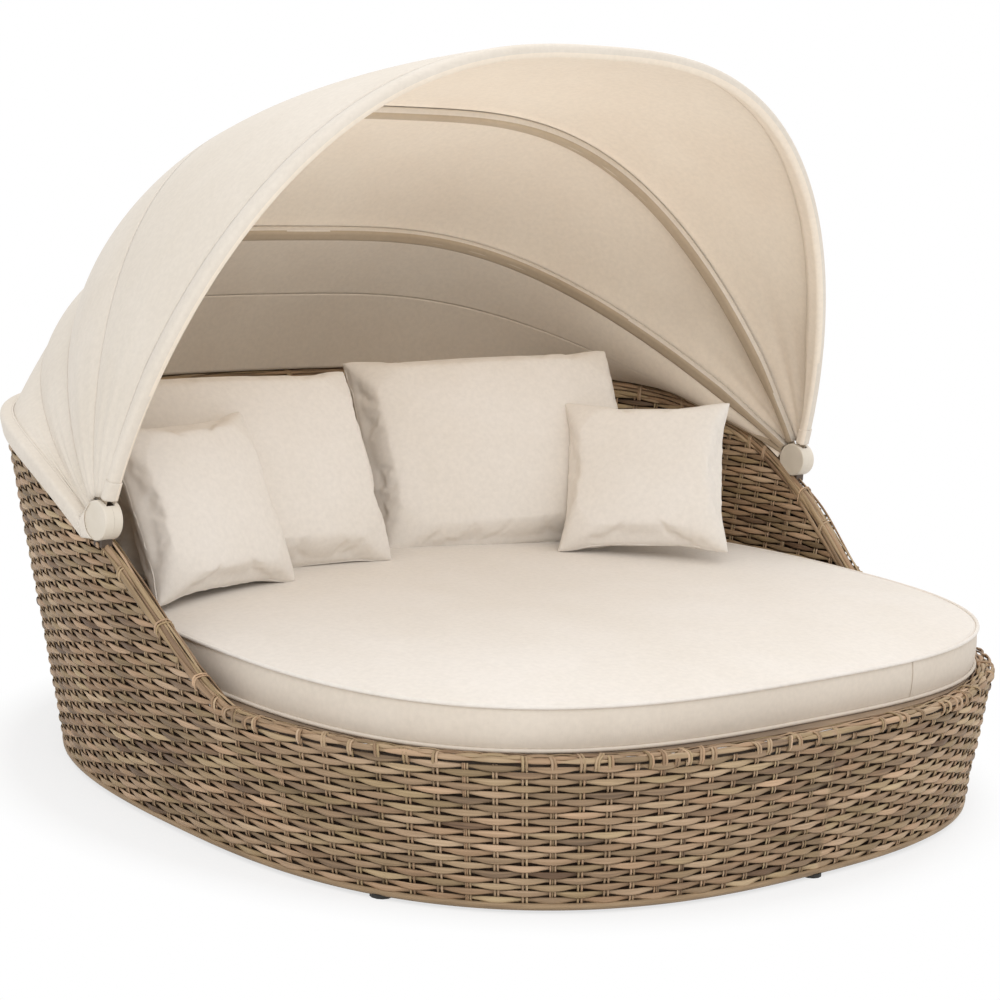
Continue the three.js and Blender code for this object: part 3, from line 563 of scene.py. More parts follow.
def evenTurns(gap, height):
    dense = np.linspace(-math.pi / 2, 3 * math.pi / 2, 4001)
    points = wallPoint(dense, height, weave["outerMiddle"])
    length = lengthAlong(points)
    count = 2 * round(length[-1] / gap / 2)
    return np.interp(np.arange(count + 1) * length[-1] / count, length, dense)


stakeTurns = evenTurns(weave["stakeGap"], 0.25)
stakeCount = len(stakeTurns) - 1


def wallFrame(turn, height, outset):
    here = wallPoint(turn, height, outset)
    up = unit(wallPoint(turn, height + mm, outset) - here)
    along = unit(wallPoint(turn + 1e-4, height, outset) - wallPoint(turn - 1e-4, height, outset))
    return here, unit(np.cross(along, up)), along


def weaveRows(pieceName, face, replaced, lowest, turnLow, turnHigh, seed):
    rng = np.random.default_rng(seed)
    middle = weave["outerMiddle"] if face > 0 else weave["innerMiddle"]
    place = np.arange(stakeCount * weave["samples"]) / weave["samples"]
    turns = np.interp(place, np.arange(stakeCount + 1), stakeTurns)
    top = rimHeight(turns) - (weave["underCrown"] if face > 0 else weave["underBorder"])
    made, pile = 0, newPile()
    rowCount = int((shell["backRim"] - lowest) / weave["rowGap"])
    for row in range(rowCount):
        height = lowest + row * weave["rowGap"]
        inside = (top > height) & (turns >= turnLow) & (turns <= turnHigh)
        if inside.sum() < 2 * weave["samples"]:
            continue
        picked = np.nonzero(inside)[0]
        phase = np.cos(np.pi * (place[picked] + row))
        leaf = ((place[picked] + row + 1) // 2).astype(int)
        window = (1 + phase) / 2
        lift = rng.normal(0, weave["unevenLift"], leaf.max() + 2)[leaf] * window
        bulge = rng.normal(0, weave["unevenSwing"], leaf.max() + 2)[leaf] * window
        wander = weave["unevenRow"] * np.sin(place[picked] * 0.9 + row * 2.1)
        tone = np.clip(rng.normal(0.5, 0.2, leaf.max() + 2)[leaf], 0, 1)
        outset = middle + face * (weave["swing"] * phase + bulge)
        centre, outward, _ = wallFrame(turns[picked], height + lift + wander, outset)
        halfWidth = weave["tipHalf"] + (weave["leafHalf"] - weave["tipHalf"]) * window ** 0.7
        addStrand(
            pile, centre, outward * face, halfWidth, weave["halfDepth"], tone, weaver,
            closed=bool(inside.all()), uvStart=rng.random() * 3,
        )
        if pileTriangles(pile) > weave["trianglesPerPiece"]:
            made += 1
            pieceFromPile(f"{pieceName}_{made}", pile, replaced)
            pile = newPile()
    made += 1
    pieceFromPile(f"{pieceName}_{made}", pile, replaced)


def weaveStakes(pieceName, face, replaced, lowest, turnLow, turnHigh, seed):
    rng = np.random.default_rng(seed)
    middle = weave["outerMiddle"] if face > 0 else weave["innerMiddle"]
    pile = newPile()
    for index in range(stakeCount):
        turn = stakeTurns[index]
        if not turnLow <= turn <= turnHigh:
            continue
        top = float(rimHeight(turn)) - weave["stakeEnd"]
        start = lowest - weave["rowGap"]
        if top - start < 3 * weave["rowGap"]:
            continue
        heights = np.arange(start, top, weave["rowGap"] / 2)
        phase = np.cos(np.pi * (index + (heights - lowest) / weave["rowGap"]))
        outset = middle - face * weave["stakeSwing"] * phase
        centre, outward, along = wallFrame(np.full(len(heights), turn), heights, outset)
        isPair = rng.random() > weave["tripleShare"]
        for offset in [-1, 1] if isPair else [-1.3, 0, 1.3]:
            lean = offset * weave["pairHalfGap"] + rng.normal(0, 0.5 * mm)
            radius = weave["stakeRadius"] * (1 if isPair else weave["tripleRadius"])
            addStrand(
                pile, centre + along * lean, outward * face, radius, radius * weave["stakeFlatness"],
                float(np.clip(rng.normal(0.55, 0.18), 0, 1)), stakeStrand, uvStart=rng.random() * 3,
            )
    pieceFromPile(pieceName, pile, replaced)


def weaveWalls():
    allRound = (-math.pi, 2 * math.pi)
    lined = [math.radians(angle) for angle in weave["innerEnds"]]
    weaveRows("wicker_rows_outer", 1, "wicker_outer_skin", weave["firstRow"], *allRound, seed=3)
    weaveStakes("wicker_stakes_outer", 1, "wicker_outer_skin", weave["firstRow"], *allRound, seed=5)
    weaveRows("wicker_rows_inner", -1, "wicker_inner_skin", weave["innerBottom"], *lined, seed=7)
    weaveStakes("wicker_stakes_inner", -1, "wicker_inner_skin", weave["innerBottom"], *lined, seed=9)


# Painted shade: a dark sheet close behind the strands stands for the wall's unlit hollow, so the gaps in the
# weave show dark and no light comes through
paintedShadeSheet = dict(
    outer=-10.6 * mm,
    inner=-31.6 * mm,
    half=0.6 * mm,
    bottom=37 * mm,
    innerBottom=0.306,
    innerEnds=(8, 172),
    under=32 * mm,
)


def paintedShadeWall(name, outset, bottom, turns, isClosed):
    top = rimHeight(turns) - paintedShadeSheet["under"]
    levels = [bottom + (top - bottom) * share for share in np.linspace(0, 1, 9)]
    around = [(level, outset + paintedShadeSheet["half"]) for level in levels]
    around += [(level, outset - paintedShadeSheet["half"]) for level in levels[::-1]]
    grid = np.stack([wallPoint(turns, level, place) for level, place in around], 1)
    count, size = grid.shape[:2]
    rows, corner = np.arange(count if isClosed else count - 1)[:, None], np.arange(size)
    here, after, following = rows * size, (rows + 1) % count * size, (corner + 1) % size
    sides = [here + corner, after + corner, after + following, here + following]
    faces = np.stack(sides, -1).reshape(-1, 4)
    if not isClosed:
        half = np.arange(size // 2 - 1)
        cap = np.stack([half, half + 1, size - 2 - half, size - 1 - half], -1)
        faces = np.vstack([faces, cap, cap[:, ::-1] + (count - 1) * size])
    piece = meshFromArrays(name, grid.reshape(-1, 3), faces)
    # Painted shade: the sheet takes the near-black finish
    finishPiece(piece, "paintedShadeSheet")


weaveWalls()
wholeTurn = np.linspace(0, 2 * math.pi, 241)[:-1]
linedTurn = np.radians(np.linspace(*paintedShadeSheet["innerEnds"], 121))
paintedShadeWall("wicker_painted_shade_outer", paintedShadeSheet["outer"], paintedShadeSheet["bottom"], wholeTurn, True)
paintedShadeWall("wicker_painted_shade_inner", paintedShadeSheet["inner"], paintedShadeSheet["innerBottom"], linedTurn, False)
print("walls woven")

# Border: strands laid along the rim with the stakes' ends bent over them

border = dict(
    strands=[(-4.5, -2.8), (-13.5, -0.6), (-22, -0.2), (-30, -0.6), (-38, -4), (-41.5, -13), (-41.5, -24)],
    strandHalf=6.2 * mm,
    tipHalf=3.6 * mm,
    strandSwing=1.7,
    crownSwing=2.6,
    crownTip=2.6 * mm,
    strandDepth=2.6 * mm,
    wrapPath=[
        (-4, -22), (1.2, -12), (-0.6, -2), (-6, 2.6), (-14, 3.4), (-24, 3.4), (-34, 2.2), (-42, -4),
        (-44.2, -14), (-43, -26), (-38.5, -36),
    ],
    wrapRadius=2.4 * mm,
    wrapSlant=17 * mm,
    hubClear=0.043,
    hubDip=4 * mm,
    footStrands=[(-1.5, 15.5), (-7.5, 11.0)],
    footHalf=6.2 * mm,
    footDepth=4.2 * mm,
    heart=(-21, -16),
    stations=720,
    wrapSteps=34,
    shortSteps=14,
    skipShares=(0.35, 0.7),
)


def nearHub(turn):
    y = rimPoint(turn, -shell["wall"] / 2, 0)[..., 1]
    return np.where(np.sin(turn) > -0.5, np.clip(1 - np.abs(y - hubY) / border["hubClear"], 0, 1), 0)


def sectionPoint(turn, outset, rise):
    turn = np.asarray(turn, float)
    outset, rise = np.asarray(outset, float) * mm, np.asarray(rise, float) * mm
    dip = border["hubDip"] * np.minimum(1, 2 * nearHub(turn)) * (rise > -12 * mm)
    point = rimPoint(turn, outset, rise - dip)
    middle = rimPoint(turn, border["heart"][0] * mm, np.minimum(rise, border["heart"][1] * mm))
    return point, unit(point - middle)


def layBorderStrands(rng):
    pile, count = newPile(), border["stations"]
    turns = np.linspace(-math.pi / 2, 3 * math.pi / 2, count + 1)[:-1]
    place = np.arange(count) / count * stakeCount
    for number, (outset, rise) in enumerate(border["strands"]):
        phase = np.cos(np.pi * (place + number))
        leaf = ((place + number + 1) // 2).astype(int)
        window = (1 + phase) / 2
        tone = np.clip(rng.normal(0.52, 0.18, leaf.max() + 1)[leaf], 0, 1)
        lift = rng.normal(0, 0.8, leaf.max() + 1)[leaf] * window
        centre, outward = sectionPoint(turns, outset + 0.5 * lift, rise + 0.5 * lift)
        isCrown = number < 2
        swing = border["crownSwing" if isCrown else "strandSwing"]
        tip = border["crownTip" if isCrown else "tipHalf"]
        centre = centre + outward * (swing * phase * mm)[:, None]
        halfWidth = tip + (border["strandHalf"] - tip) * window ** 0.7
        addStrand(
            pile, centre, outward, halfWidth, border["strandDepth"], tone, weaver,
            closed=True, uvStart=rng.random() * 3,
        )
    for outset, height in border["footStrands"]:
        centre, outward, _ = wallFrame(turns, height * mm, outset * mm)
        addStrand(
            pile, centre, outward, border["footHalf"], border["footDepth"], 0.45, roundStrand,
            closed=True, uvStart=rng.random(),
        )
    pieceFromPile("wicker_border_strands", pile, "wicker_border")


# The stakes' ends, bent over the border in pairs: some go right over it, the rest stop on top
def wrapBorder(rng):
    pile = newPile()
    path = np.array(border["wrapPath"], float)
    fine = np.linspace(0, len(path) - 1, border["wrapSteps"])
    outset = np.interp(fine, np.arange(len(path)), path[:, 0])
    rise = np.interp(fine, np.arange(len(path)), path[:, 1])
    share = fine / (len(path) - 1)
    for index in range(2 * stakeCount):
        turn = np.interp(index / 2, np.arange(stakeCount + 1), stakeTurns)
        if nearHub(turn) > 0.08:
            continue
        speed = np.linalg.norm(rimPoint(turn + 1e-3, 0.0, 0.0) - rimPoint(turn - 1e-3, 0.0, 0.0)) / 2e-3
        if rng.random() < border["skipShares"][index % 2]:
            continue
        slant = border["wrapSlant"] * rng.normal(0.6, 0.5) * (1 if index % 2 else -0.6)
        eased = np.clip((share - 0.12) / 0.5, 0, 1)
        eased = eased * eased * (3 - 2 * eased)
        last = border["wrapSteps" if rng.random() > 0.5 else "shortSteps"]
        for side in (-1, 1):
            shift = side * weave["pairHalfGap"] * 0.85 + slant * eased + rng.normal(0, 0.4 * mm)
            lift = rng.normal(0.2, 0.4)
            centre, outward = sectionPoint((turn + shift / speed)[:last], outset[:last], rise[:last])
            centre = centre + outward * lift * mm
            addStrand(
                pile, centre, outward, border["wrapRadius"] * 1.15, border["wrapRadius"] * 0.75,
                float(np.clip(rng.normal(0.62, 0.16), 0, 1)), roundStrand, uvStart=rng.random() * 3,
            )
    pieceFromPile("wicker_border_wraps", pile, "wicker_border")


borderDraws = np.random.default_rng(11)
layBorderStrands(borderDraws)
wrapBorder(borderDraws)
print("border laid")

# Sheets of cloth from grids of points: two faces, the canopy's cloth outside and a painted copy of it inside,
# lighter with painted light on most pieces and darker with painted shade in the pockets


def sheetPiece(name, grid, thickness):
    down, across = np.gradient(grid, axis=0), np.gradient(grid, axis=1)
    normal = unit(np.cross(down, across))
    heart = np.array([0, hubY, shell["frontRim"]])
    if np.sum(normal * (grid - heart)) < 0:
        grid, normal = grid[::-1], -normal[::-1]
    rows, columns = grid.shape[:2]
    outside, inside = grid + normal * thickness / 2, grid - normal * thickness / 2
    points = np.concatenate([outside.reshape(-1, 3), inside.reshape(-1, 3)])
    index = np.arange(rows * columns).reshape(rows, columns)
    a, b, c, d = index[:-1, :-1], index[1:, :-1], index[1:, 1:], index[:-1, 1:]
    top = np.stack([a, b, c, d], -1).reshape(-1, 4)
    back = top[:, ::-1] + rows * columns
    loop = np.concatenate([index[:-1, 0], index[-1, :-1], index[1:, -1][::-1], index[0, 1:][::-1]])
    after = np.roll(loop, -1)
    edge = np.stack([after, loop, loop + rows * columns, after + rows * columns], -1)
    faces = np.concatenate([top, back, edge])
    rowSteps = np.linalg.norm(np.diff(grid, axis=0), axis=2).mean(1)
    columnSteps = np.linalg.norm(np.diff(grid, axis=1), axis=2).mean(0)
    alongRows, alongColumns = (np.concatenate([[0], np.cumsum(steps)]) for steps in (rowSteps, columnSteps))
    flat = np.stack(np.meshgrid(alongRows, alongColumns, indexing="ij"), -1).reshape(-1, 2)
    flat = np.concatenate([flat, flat])
    piece = meshFromArrays(name, points, faces, flat[faces])
    normals, centres = np.zeros(len(faces) * 3, np.float32), np.zeros(len(faces) * 3, np.float32)
    piece.data.polygons.foreach_get("normal", normals)
    piece.data.polygons.foreach_get("center", centres)
    facing = np.sum(normals.reshape(-1, 3) * (centres.reshape(-1, 3) - heart), axis=1)
    # Faces turned in towards the middle take the second material, the cloth's painted copy: lighter with
    # painted light on most pieces, darker with painted shade in the pockets
    piece.data.polygons.foreach_set("material_index", (facing < -0.15).astype(np.int32))
    below, beside = grid[1:, :-1], grid[:-1, 1:]
    halves = [np.cross(below - corner, beside - corner) for corner in (grid[:-1, :-1], grid[1:, 1:])]
    area = float(sum(np.linalg.norm(half, axis=2) for half in halves).sum() / 2)
    return piece, area, float(alongRows[-1]), float(alongColumns[-1])


# Canopy bows: each is an arch in a plane through the hub axis

canopy = dict(
    clothStart=0.046,
    tubeRadius=9.5 * mm,
    cloth=1.6 * mm,
    seamLift=13.2 * mm,
    hemBack=30 * mm,
    hemLeast=4 * mm,
    hemFront=12.5 * mm,
    hemDrop=12 * mm,
    hemGap=1.8 * mm,
    hemLift=0.8 * mm,
    seamOutset=-22 * mm,
    seamRise=4.45 * mm,
    rearStations=181,
    foldedSpacing=7.5,
    stations=181,
    across=33,
    cuffGrow=1.9 * mm,
    cuffStations=721,
    cuffRows=10,
)
bows = dict(
    front=dict(angle=74.8, reach=1.000, acrossRoundness=2.69, upRoundness=1.74, body="front_arch"),
    second=dict(angle=114.6, reach=0.884, acrossRoundness=3.29, upRoundness=1.43, body="second_arch"),
    third=dict(angle=146.1, reach=0.890, acrossRoundness=3.40, upRoundness=1.25, body="third_arch"),
    rear=dict(angle=158.7, reach=0.947, acrossRoundness=3.50, upRoundness=1.36, body="rear_arch"),
)


def bowLine(bow, startRadius, count):
    lastTurn = math.acos((startRadius / bow["reach"]) ** (bow["upRoundness"] / 2))
    turn = np.linspace(-lastTurn, lastTurn, 4001)
    side = np.sin(turn)
    x = hubX * np.sign(side) * np.abs(side) ** (2 / bow["acrossRoundness"])
    z = bow["reach"] * np.cos(turn) ** (2 / bow["upRoundness"])
    points = np.stack([x, 0 * x, z], -1)
    line = evenlySpaced(points, count)
    along = unit(np.gradient(line, axis=0))
    return line, np.stack([-along[:, 2], np.zeros(count), along[:, 0]], -1)


def turnedTo(bow, vectors, isPlace=True):
    tilt = math.pi / 2 - math.radians(bow["angle"])
    y = vectors[..., 1] * math.cos(tilt) - vectors[..., 2] * math.sin(tilt)
    z = vectors[..., 1] * math.sin(tilt) + vectors[..., 2] * math.cos(tilt)
    turned = np.stack([vectors[..., 0], y, z], -1)
    return turned + np.array([0, hubY, hubZ]) if isPlace else turned


def hemWidth(radius):
    between = radius * math.sin(math.radians(canopy["foldedSpacing"]))
    return np.clip(between - canopy["tubeRadius"] - canopy["hemGap"], canopy["hemLeast"], canopy["hemBack"])


def seamLine(name, count):
    bow = bows[name]
    line, outward = bowLine(bow, canopy["clothStart"], count)
    lift, across = canopy["seamLift"], 0.0
    if name == "front":
        across = hemWidth(line[:, 2])
        lift = canopy["seamLift"] - canopy["hemDrop"] * across / canopy["hemBack"]
        across = across[:, None]
        lift = lift[:, None]
    place = line + outward * lift + np.array([0, 1, 0]) * across
    return turnedTo(bow, place), turnedTo(bow, outward, False)


def rimLine(outset, rise, count):
    edge = rimPoint(np.linspace(math.pi, 0, 2001), outset, rise)
    line = evenlySpaced(edge[edge[:, 1] > hubY + canopy["clothStart"]], count)
    outward = unit(np.stack([line[:, 0], line[:, 1] - hubY, np.zeros(count)], -1))
    return line, unit(outward + np.array([0, 0, 1]))


# How the cloth lies between two seams: gathered near the hubs, and a little uneven all over
drape = dict(
    gatherRadius=0.16,
    gatherReach=0.20,
    folds=3.2,
    foldWander=0.6,
    foldDepth=1.6 * mm,
    patch=3.1,
    patchDepth=2 * mm,
)


def foldNoise(grid, scale, seed):
    shift = Vector((seed * 3.7, seed * 1.3, seed * 5.1))
    flat = grid.reshape(-1, 3)
    values = [noise.noise(Vector(point) * scale + shift) for point in flat]
    return np.array(values).reshape(grid.shape[:2])


def panelGrid(fromSeam, toSeam, billow, seed):
    (startLine, startOut), (endLine, endOut) = fromSeam, toSeam
    count = len(startLine)
    share = np.linspace(0, 1, canopy["across"])[None, :, None]
    grid = startLine[:, None] * (1 - share) + endLine[:, None] * share
    out = unit(startOut[:, None] * (1 - share) + endOut[:, None] * share)
    station = np.arange(count) / (count - 1)
    fullness = np.sqrt(np.sin(np.pi * station))[:, None]
    bulge = 4 * share[..., 0] * (1 - share[..., 0])
    radius = np.linalg.norm((grid - np.array([0, hubY, hubZ]))[..., 1:], axis=-1)
    gather = np.exp(-((radius - drape["gatherRadius"]) / drape["gatherReach"]) ** 2) * bulge
    wander = drape["foldWander"] * foldNoise(grid * 0 + station[:, None, None], 2.0, seed)
    folds = np.sin(2 * np.pi * (drape["folds"] * share[..., 0] + wander))
    soft = foldNoise(grid, drape["patch"], seed) * bulge
    offset = billow * fullness * bulge + drape["foldDepth"] * gather * folds
    offset = offset + drape["patchDepth"] * soft * fullness
    return grid + out * offset[..., None]


# The inner faces take a painted copy of the cloth, by default the lighter one with painted light for the
# light that shines through the canopy
def clothPiece(name, grid, body, replaced=(), inside="liningAndPaintedLight"):
    piece, area, length, width = sheetPiece(name, grid, canopy["cloth"])
    piece.data.materials.append(finishes["canopy"])
    piece.data.materials.append(finishes[inside])
    if replaced:
        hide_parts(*replaced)
    if body:
        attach(piece, body)
    return piece


def coordinates(piece):
    points = np.zeros(len(piece.data.vertices) * 3, np.float32)
    piece.data.vertices.foreach_get("co", points)
    return points.reshape(-1, 3).astype(float)


# Cloth between two bodies that turn about the hub axis: its placement is baked into its points, which are
# read back and not used further
def bendAboutHubs(piece):
    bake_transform(piece)
    points = coordinates(piece)


def canopyPanels():
    count = canopy["stations"]
    seams = {name: seamLine(name, count) for name in bows}
    seams["rim"] = rimLine(canopy["seamOutset"], canopy["seamRise"], count)
    order = [
        ("canopy_cloth_front", "front", "second", 22 * mm, "canopy_panel_front"),
        ("canopy_cloth_middle", "second", "third", 34 * mm, "canopy_panel_middle"),
        ("canopy_cloth_back", "third", "rear", 14 * mm, "canopy_panel_back"),
        ("canopy_cloth_rear", "rear", "rim", 6 * mm, "canopy_panel_rear"),
    ]
    for number, (name, first, second, billow, cadNode) in enumerate(order):
        grid = panelGrid(seams[first], seams[second], billow, number + 1)
        bendAboutHubs(clothPiece(name, grid, None, [cadNode]))


# A smooth lining from the third bow to the inside of the rim hides the rear bow from within
liningAndPaintedLight = dict(
    thirdLift=-7 * mm,
    thirdAcross=13 * mm,
    rearLift=-21 * mm,
    rimOutset=-39 * mm,
    rimRise=5.5 * mm,
    narrowBelow=0.26,
)


def innerLine(name, lift, across, count):
    line, outward = bowLine(bows[name], canopy["clothStart"], count)
    narrow = np.clip(line[:, 2:] / liningAndPaintedLight["narrowBelow"], 0, 1)
    return turnedTo(bows[name], line + outward * lift * narrow + np.array([0, 1, 0]) * across * narrow)


def canopyInsidePaintedLight():
    count = canopy["stations"]
    third = innerLine("third", liningAndPaintedLight["thirdLift"], liningAndPaintedLight["thirdAcross"], count)[:, None]
    rear = innerLine("rear", liningAndPaintedLight["rearLift"], 0.0, count)[:, None]
    rim = rimLine(liningAndPaintedLight["rimOutset"], liningAndPaintedLight["rimRise"], count)[0][:, None]
    share = np.linspace(0, 1, 2 * canopy["across"] - 1)[None, :, None]
    whole = third * (2 * share - 1) * (share - 1) + rear * 4 * share * (1 - share)
    whole = whole + rim * share * (2 * share - 1)
    middle = canopy["across"] - 1
    for name, grid, first, second in (
        ("canopy_lining_back", whole[:, :middle + 1], "third", "rear"),
        ("canopy_lining_rear", whole[:, middle:], "rear", "rim"),
    ):
        bendAboutHubs(clothPiece(name, grid, None))


def bandGrid(bow, startRadius, count, section):
    line, outward = bowLine(bow, startRadius, count)
    rows = section(line[:, 2])
    grid = [line + outward * out[:, None] + np.array([0, 1, 0]) * across[:, None] for out, across in rows]
    return turnedTo(bow, np.stack(grid, 1))


def roundedSection(corners, steps=4):
    rows = [corners[0]]
    for before, corner, after in zip(corners, corners[1:], corners[2:]):
        start = [(b + c) / 2 for b, c in zip(before, corner)]
        end = [(c + a) / 2 for c, a in zip(corner, after)]
        for k in range(steps + 1):
            t = k / steps
            rows.append([
                s * (1 - t) ** 2 + 2 * c * t * (1 - t) + e * t * t for s, c, e in zip(start, corner, end)
            ])
    return rows + [corners[-1]]


def frontHemGrid(grow, count):
    def section(radius):
        width = hemWidth(radius)
        lift = canopy["seamLift"] + canopy["hemLift"] + grow + 0 * radius
        front = -canopy["hemFront"] - grow + 0 * radius
        return roundedSection([
            (lift - canopy["hemDrop"] * width / canopy["hemBack"], width),
            (lift, 0.1 * width),
            (lift, front),
            (-lift, front),
            (-lift, 0.1 * width),
            (-lift, width),
        ])
    return bandGrid(bows["front"], canopy["clothStart"], count, section)


# The hem round the front bow, with a second layer of cloth stitched round each end
def frontHem():
    grid = frontHemGrid(0.0, canopy["stations"])
    clothPiece("canopy_hem_front", grid, "front_arch", ["canopy_front_hem"])
    fine = frontHemGrid(canopy["cuffGrow"], canopy["cuffStations"])
    rows = canopy["cuffRows"]
    for side, ends in (("left", fine[:rows]), ("right", fine[-rows:])):
        clothPiece(f"canopy_cuff_{side}", ends, "front_arch")


pocket = dict(gap=0.8 * mm, least=8.8 * mm, most=16 * mm, slack=1.1 * mm)


# A flat pocket round the tube, narrower towards the hubs, where the folded bows lie close
def bowPocket(name):
    def section(radius):
        between = radius * math.sin(math.radians(canopy["foldedSpacing"]) / 2) - pocket["gap"]
        half = np.clip(between, pocket["least"], pocket["most"])
        reach = canopy["tubeRadius"] + pocket["slack"] + 0 * radius
        return roundedSection([
            (0.9 * reach, -half), (0.1 * reach, -0.98 * half), (-reach, -0.8 * half), (-reach, 0 * radius),
            (-reach, 0.8 * half), (0.1 * reach, 0.98 * half), (0.9 * reach, half),
        ])
    grid = bandGrid(bows[name], canopy["clothStart"], canopy["stations"], section)
    body, bow, sleeve = bows[name]["body"], f"{name}_bow", f"{name}_bow_sleeve"
    # Painted shade: the pocket's inner faces take the darker copy of the canopy cloth
    clothPiece(f"canopy_pocket_{name}", grid, body, [sleeve], "pocket")


# Its section over the rim, in mm out and up, has two stitched grooves
hemSection = [
    (-22, 6.5), (-19, 6.4), (-17.6, 5.2), (-16.2, 6.3), (-10, 5.8), (2.6, 5), (6.4, -4), (6.1, -20),
    (6.0, -27), (4.9, -28.2), (5.9, -29.4), (5.6, -34),
]


def rearHem():
    turns = np.linspace(math.pi, 0, 1201)
    turns = turns[rimPoint(turns, canopy["seamOutset"], 0.0)[:, 1] > hubY + canopy["clothStart"]]
    turns = np.interp(np.linspace(0, 1, canopy["rearStations"]), np.linspace(0, 1, len(turns)), turns)
    rows = [rimPoint(turns, outset * mm, rise * mm) for outset, rise in roundedSection(hemSection)]
    clothPiece("canopy_hem_rear", np.stack(rows, 1), "base", ["canopy_rear_hem"])


# Hub covers: two cups that meet at the middle, with a slot for the bows and a notch for the stem
hub = dict(
    radius=0.040,
    wall=2.5 * mm,
    half=20.5 * mm,
    split=0.15 * mm,
    slotHalf=9.4 * mm,
    slotStart=52.8,
    slotEnd=180.7,
    notch=(25.4 * mm, 30.6 * mm),
    bevel=3.5 * mm,
    gussetSection=[(2.6, 5), (6.4, -4), (6.0, -20), (5.6, -34)],
    gussetRadius=0.037,
    gussetGap=1.4 * mm,
    gussetEnds=(118, 262),
)


def cutAway(piece, cutter):
    change = piece.modifiers.new("cut", "BOOLEAN")
    change.operation = "DIFFERENCE"
    change.solver = "EXACT"
    change.object = cutter
    applyModifier(piece, change)
    bpy.data.objects.remove(cutter)


def cylinderAlongX(radius, start, end, place):
    bpy.ops.mesh.primitive_cylinder_add(
        vertices=96, radius=radius, depth=abs(end - start),
        location=(place[0] + (start + end) / 2, place[1], place[2]), rotation=(0, math.pi / 2, 0),
    )
    bpy.ops.object.transform_apply(location=True, rotation=True, scale=True)
    return bpy.context.object


def slotCutter(place):
    reach = hub["radius"] * 1.6
    angles = np.radians(np.linspace(hub["slotStart"], hub["slotEnd"], 25))
    arc = [(place[1] - reach * math.cos(a), place[2] + reach * math.sin(a)) for a in angles]
    outline = [(place[1], place[2])] + arc
    size = len(outline)
    points = [(place[0] + side * hub["slotHalf"], y, z) for side in (-1, 1) for y, z in outline]
    sides = [(k, (k + 1) % size, size + (k + 1) % size, size + k) for k in range(size)]
    mesh = bpy.data.meshes.new("slotCutter")
    mesh.from_pydata(points, [], [tuple(range(size))[::-1], tuple(range(size, 2 * size))] + sides)
    cutter = newObject("slotCutter", mesh)
    bpy.context.view_layer.objects.active = cutter
    bpy.ops.object.mode_set(mode="EDIT")
    bpy.ops.mesh.select_all(action="SELECT")
    bpy.ops.mesh.normals_make_consistent(inside=False)
    bpy.ops.object.mode_set(mode="OBJECT")
    return cutter


def hubCup(side, sign, layer, face):
    place = (sign * hubX, hubY, hubZ)
    outward = sign * face
    cup = cylinderAlongX(hub["radius"], outward * hub["split"], outward * hub["half"], place)
    bpy.ops.object.mode_set(mode="EDIT")
    bpy.ops.mesh.select_mode(type="FACE")
    bpy.ops.mesh.select_all(action="DESELECT")
    bpy.ops.object.mode_set(mode="OBJECT")
    for polygon in cup.data.polygons:
        polygon.select = polygon.normal.x * outward > 0.9
    bpy.ops.object.mode_set(mode="EDIT")
    bpy.ops.mesh.bevel(offset=hub["bevel"], segments=5, profile=0.6)
    bpy.ops.object.mode_set(mode="OBJECT")
    inside = hub["radius"] - hub["wall"]
    cutAway(cup, cylinderAlongX(inside, -outward * 5 * mm, outward * (hub["half"] - hub["wall"]), place))
    cutAway(cup, slotCutter(place))
    width, depth = hub["notch"]
    bpy.ops.mesh.primitive_cube_add(size=1, location=(place[0], place[1], place[2] - hub["radius"]))
    bpy.context.object.scale = (width, depth, 2 * hub["radius"])
    bpy.ops.object.transform_apply(location=True, rotation=True, scale=True)
    cutAway(cup, bpy.context.object)
    bpy.ops.object.select_all(action="DESELECT")
    cup.select_set(True)
    bpy.context.view_layer.objects.active = cup
    bpy.ops.object.shade_smooth_by_angle(angle=math.radians(35))
    cup.name = f"hub_cup_{layer}_{side}"
    finishPiece(cup, "hub", replaced=[f"hub_cover_{layer}_{side}"])


for sideName, sideSign in (("left", -1), ("right", 1)):
    for layerName, layerFace in (("inner", -1), ("outer", 1)):
        hubCup(sideName, sideSign, layerName, layerFace)
print("hubs covered")


# The rear hem runs on over the outer side of each hub
def hubGusset(side, sign):
    turns = np.linspace(math.pi / 2, math.pi if sign < 0 else 0, 2001)
    y = rimPoint(turns, canopy["seamOutset"], 0.0)[:, 1]
    turn = float(turns[np.nonzero(y > hubY + canopy["clothStart"])[0][-1]])
    section = roundedSection(hub["gussetSection"], 6)
    hem = np.array([rimPoint(turn, outset * mm, rise * mm) for outset, rise in section])
    angles = np.radians(np.linspace(*hub["gussetEnds"], len(hem)))
    disc = np.stack([
        np.full(len(hem), sign * (hubX + hub["half"] + hub["gussetGap"])),
        hubY - hub["gussetRadius"] * np.cos(angles),
        hubZ + hub["gussetRadius"] * np.sin(angles),
    ], -1)
    share = np.linspace(0, 1, 13)[None, :, None]
    grid = hem[:, None] * (1 - share) + disc[:, None] * share
    if sign > 0:
        grid = grid[::-1]
    clothPiece(f"canopy_gusset_{side}", grid, "base")


canopyPanels()
canopyInsidePaintedLight()
hubGusset("left", -1)
hubGusset("right", 1)
frontHem()
for bowName in ("second", "third", "rear"):
    bowPocket(bowName)
rearHem()
print("canopy stretched")

# Seat cushion

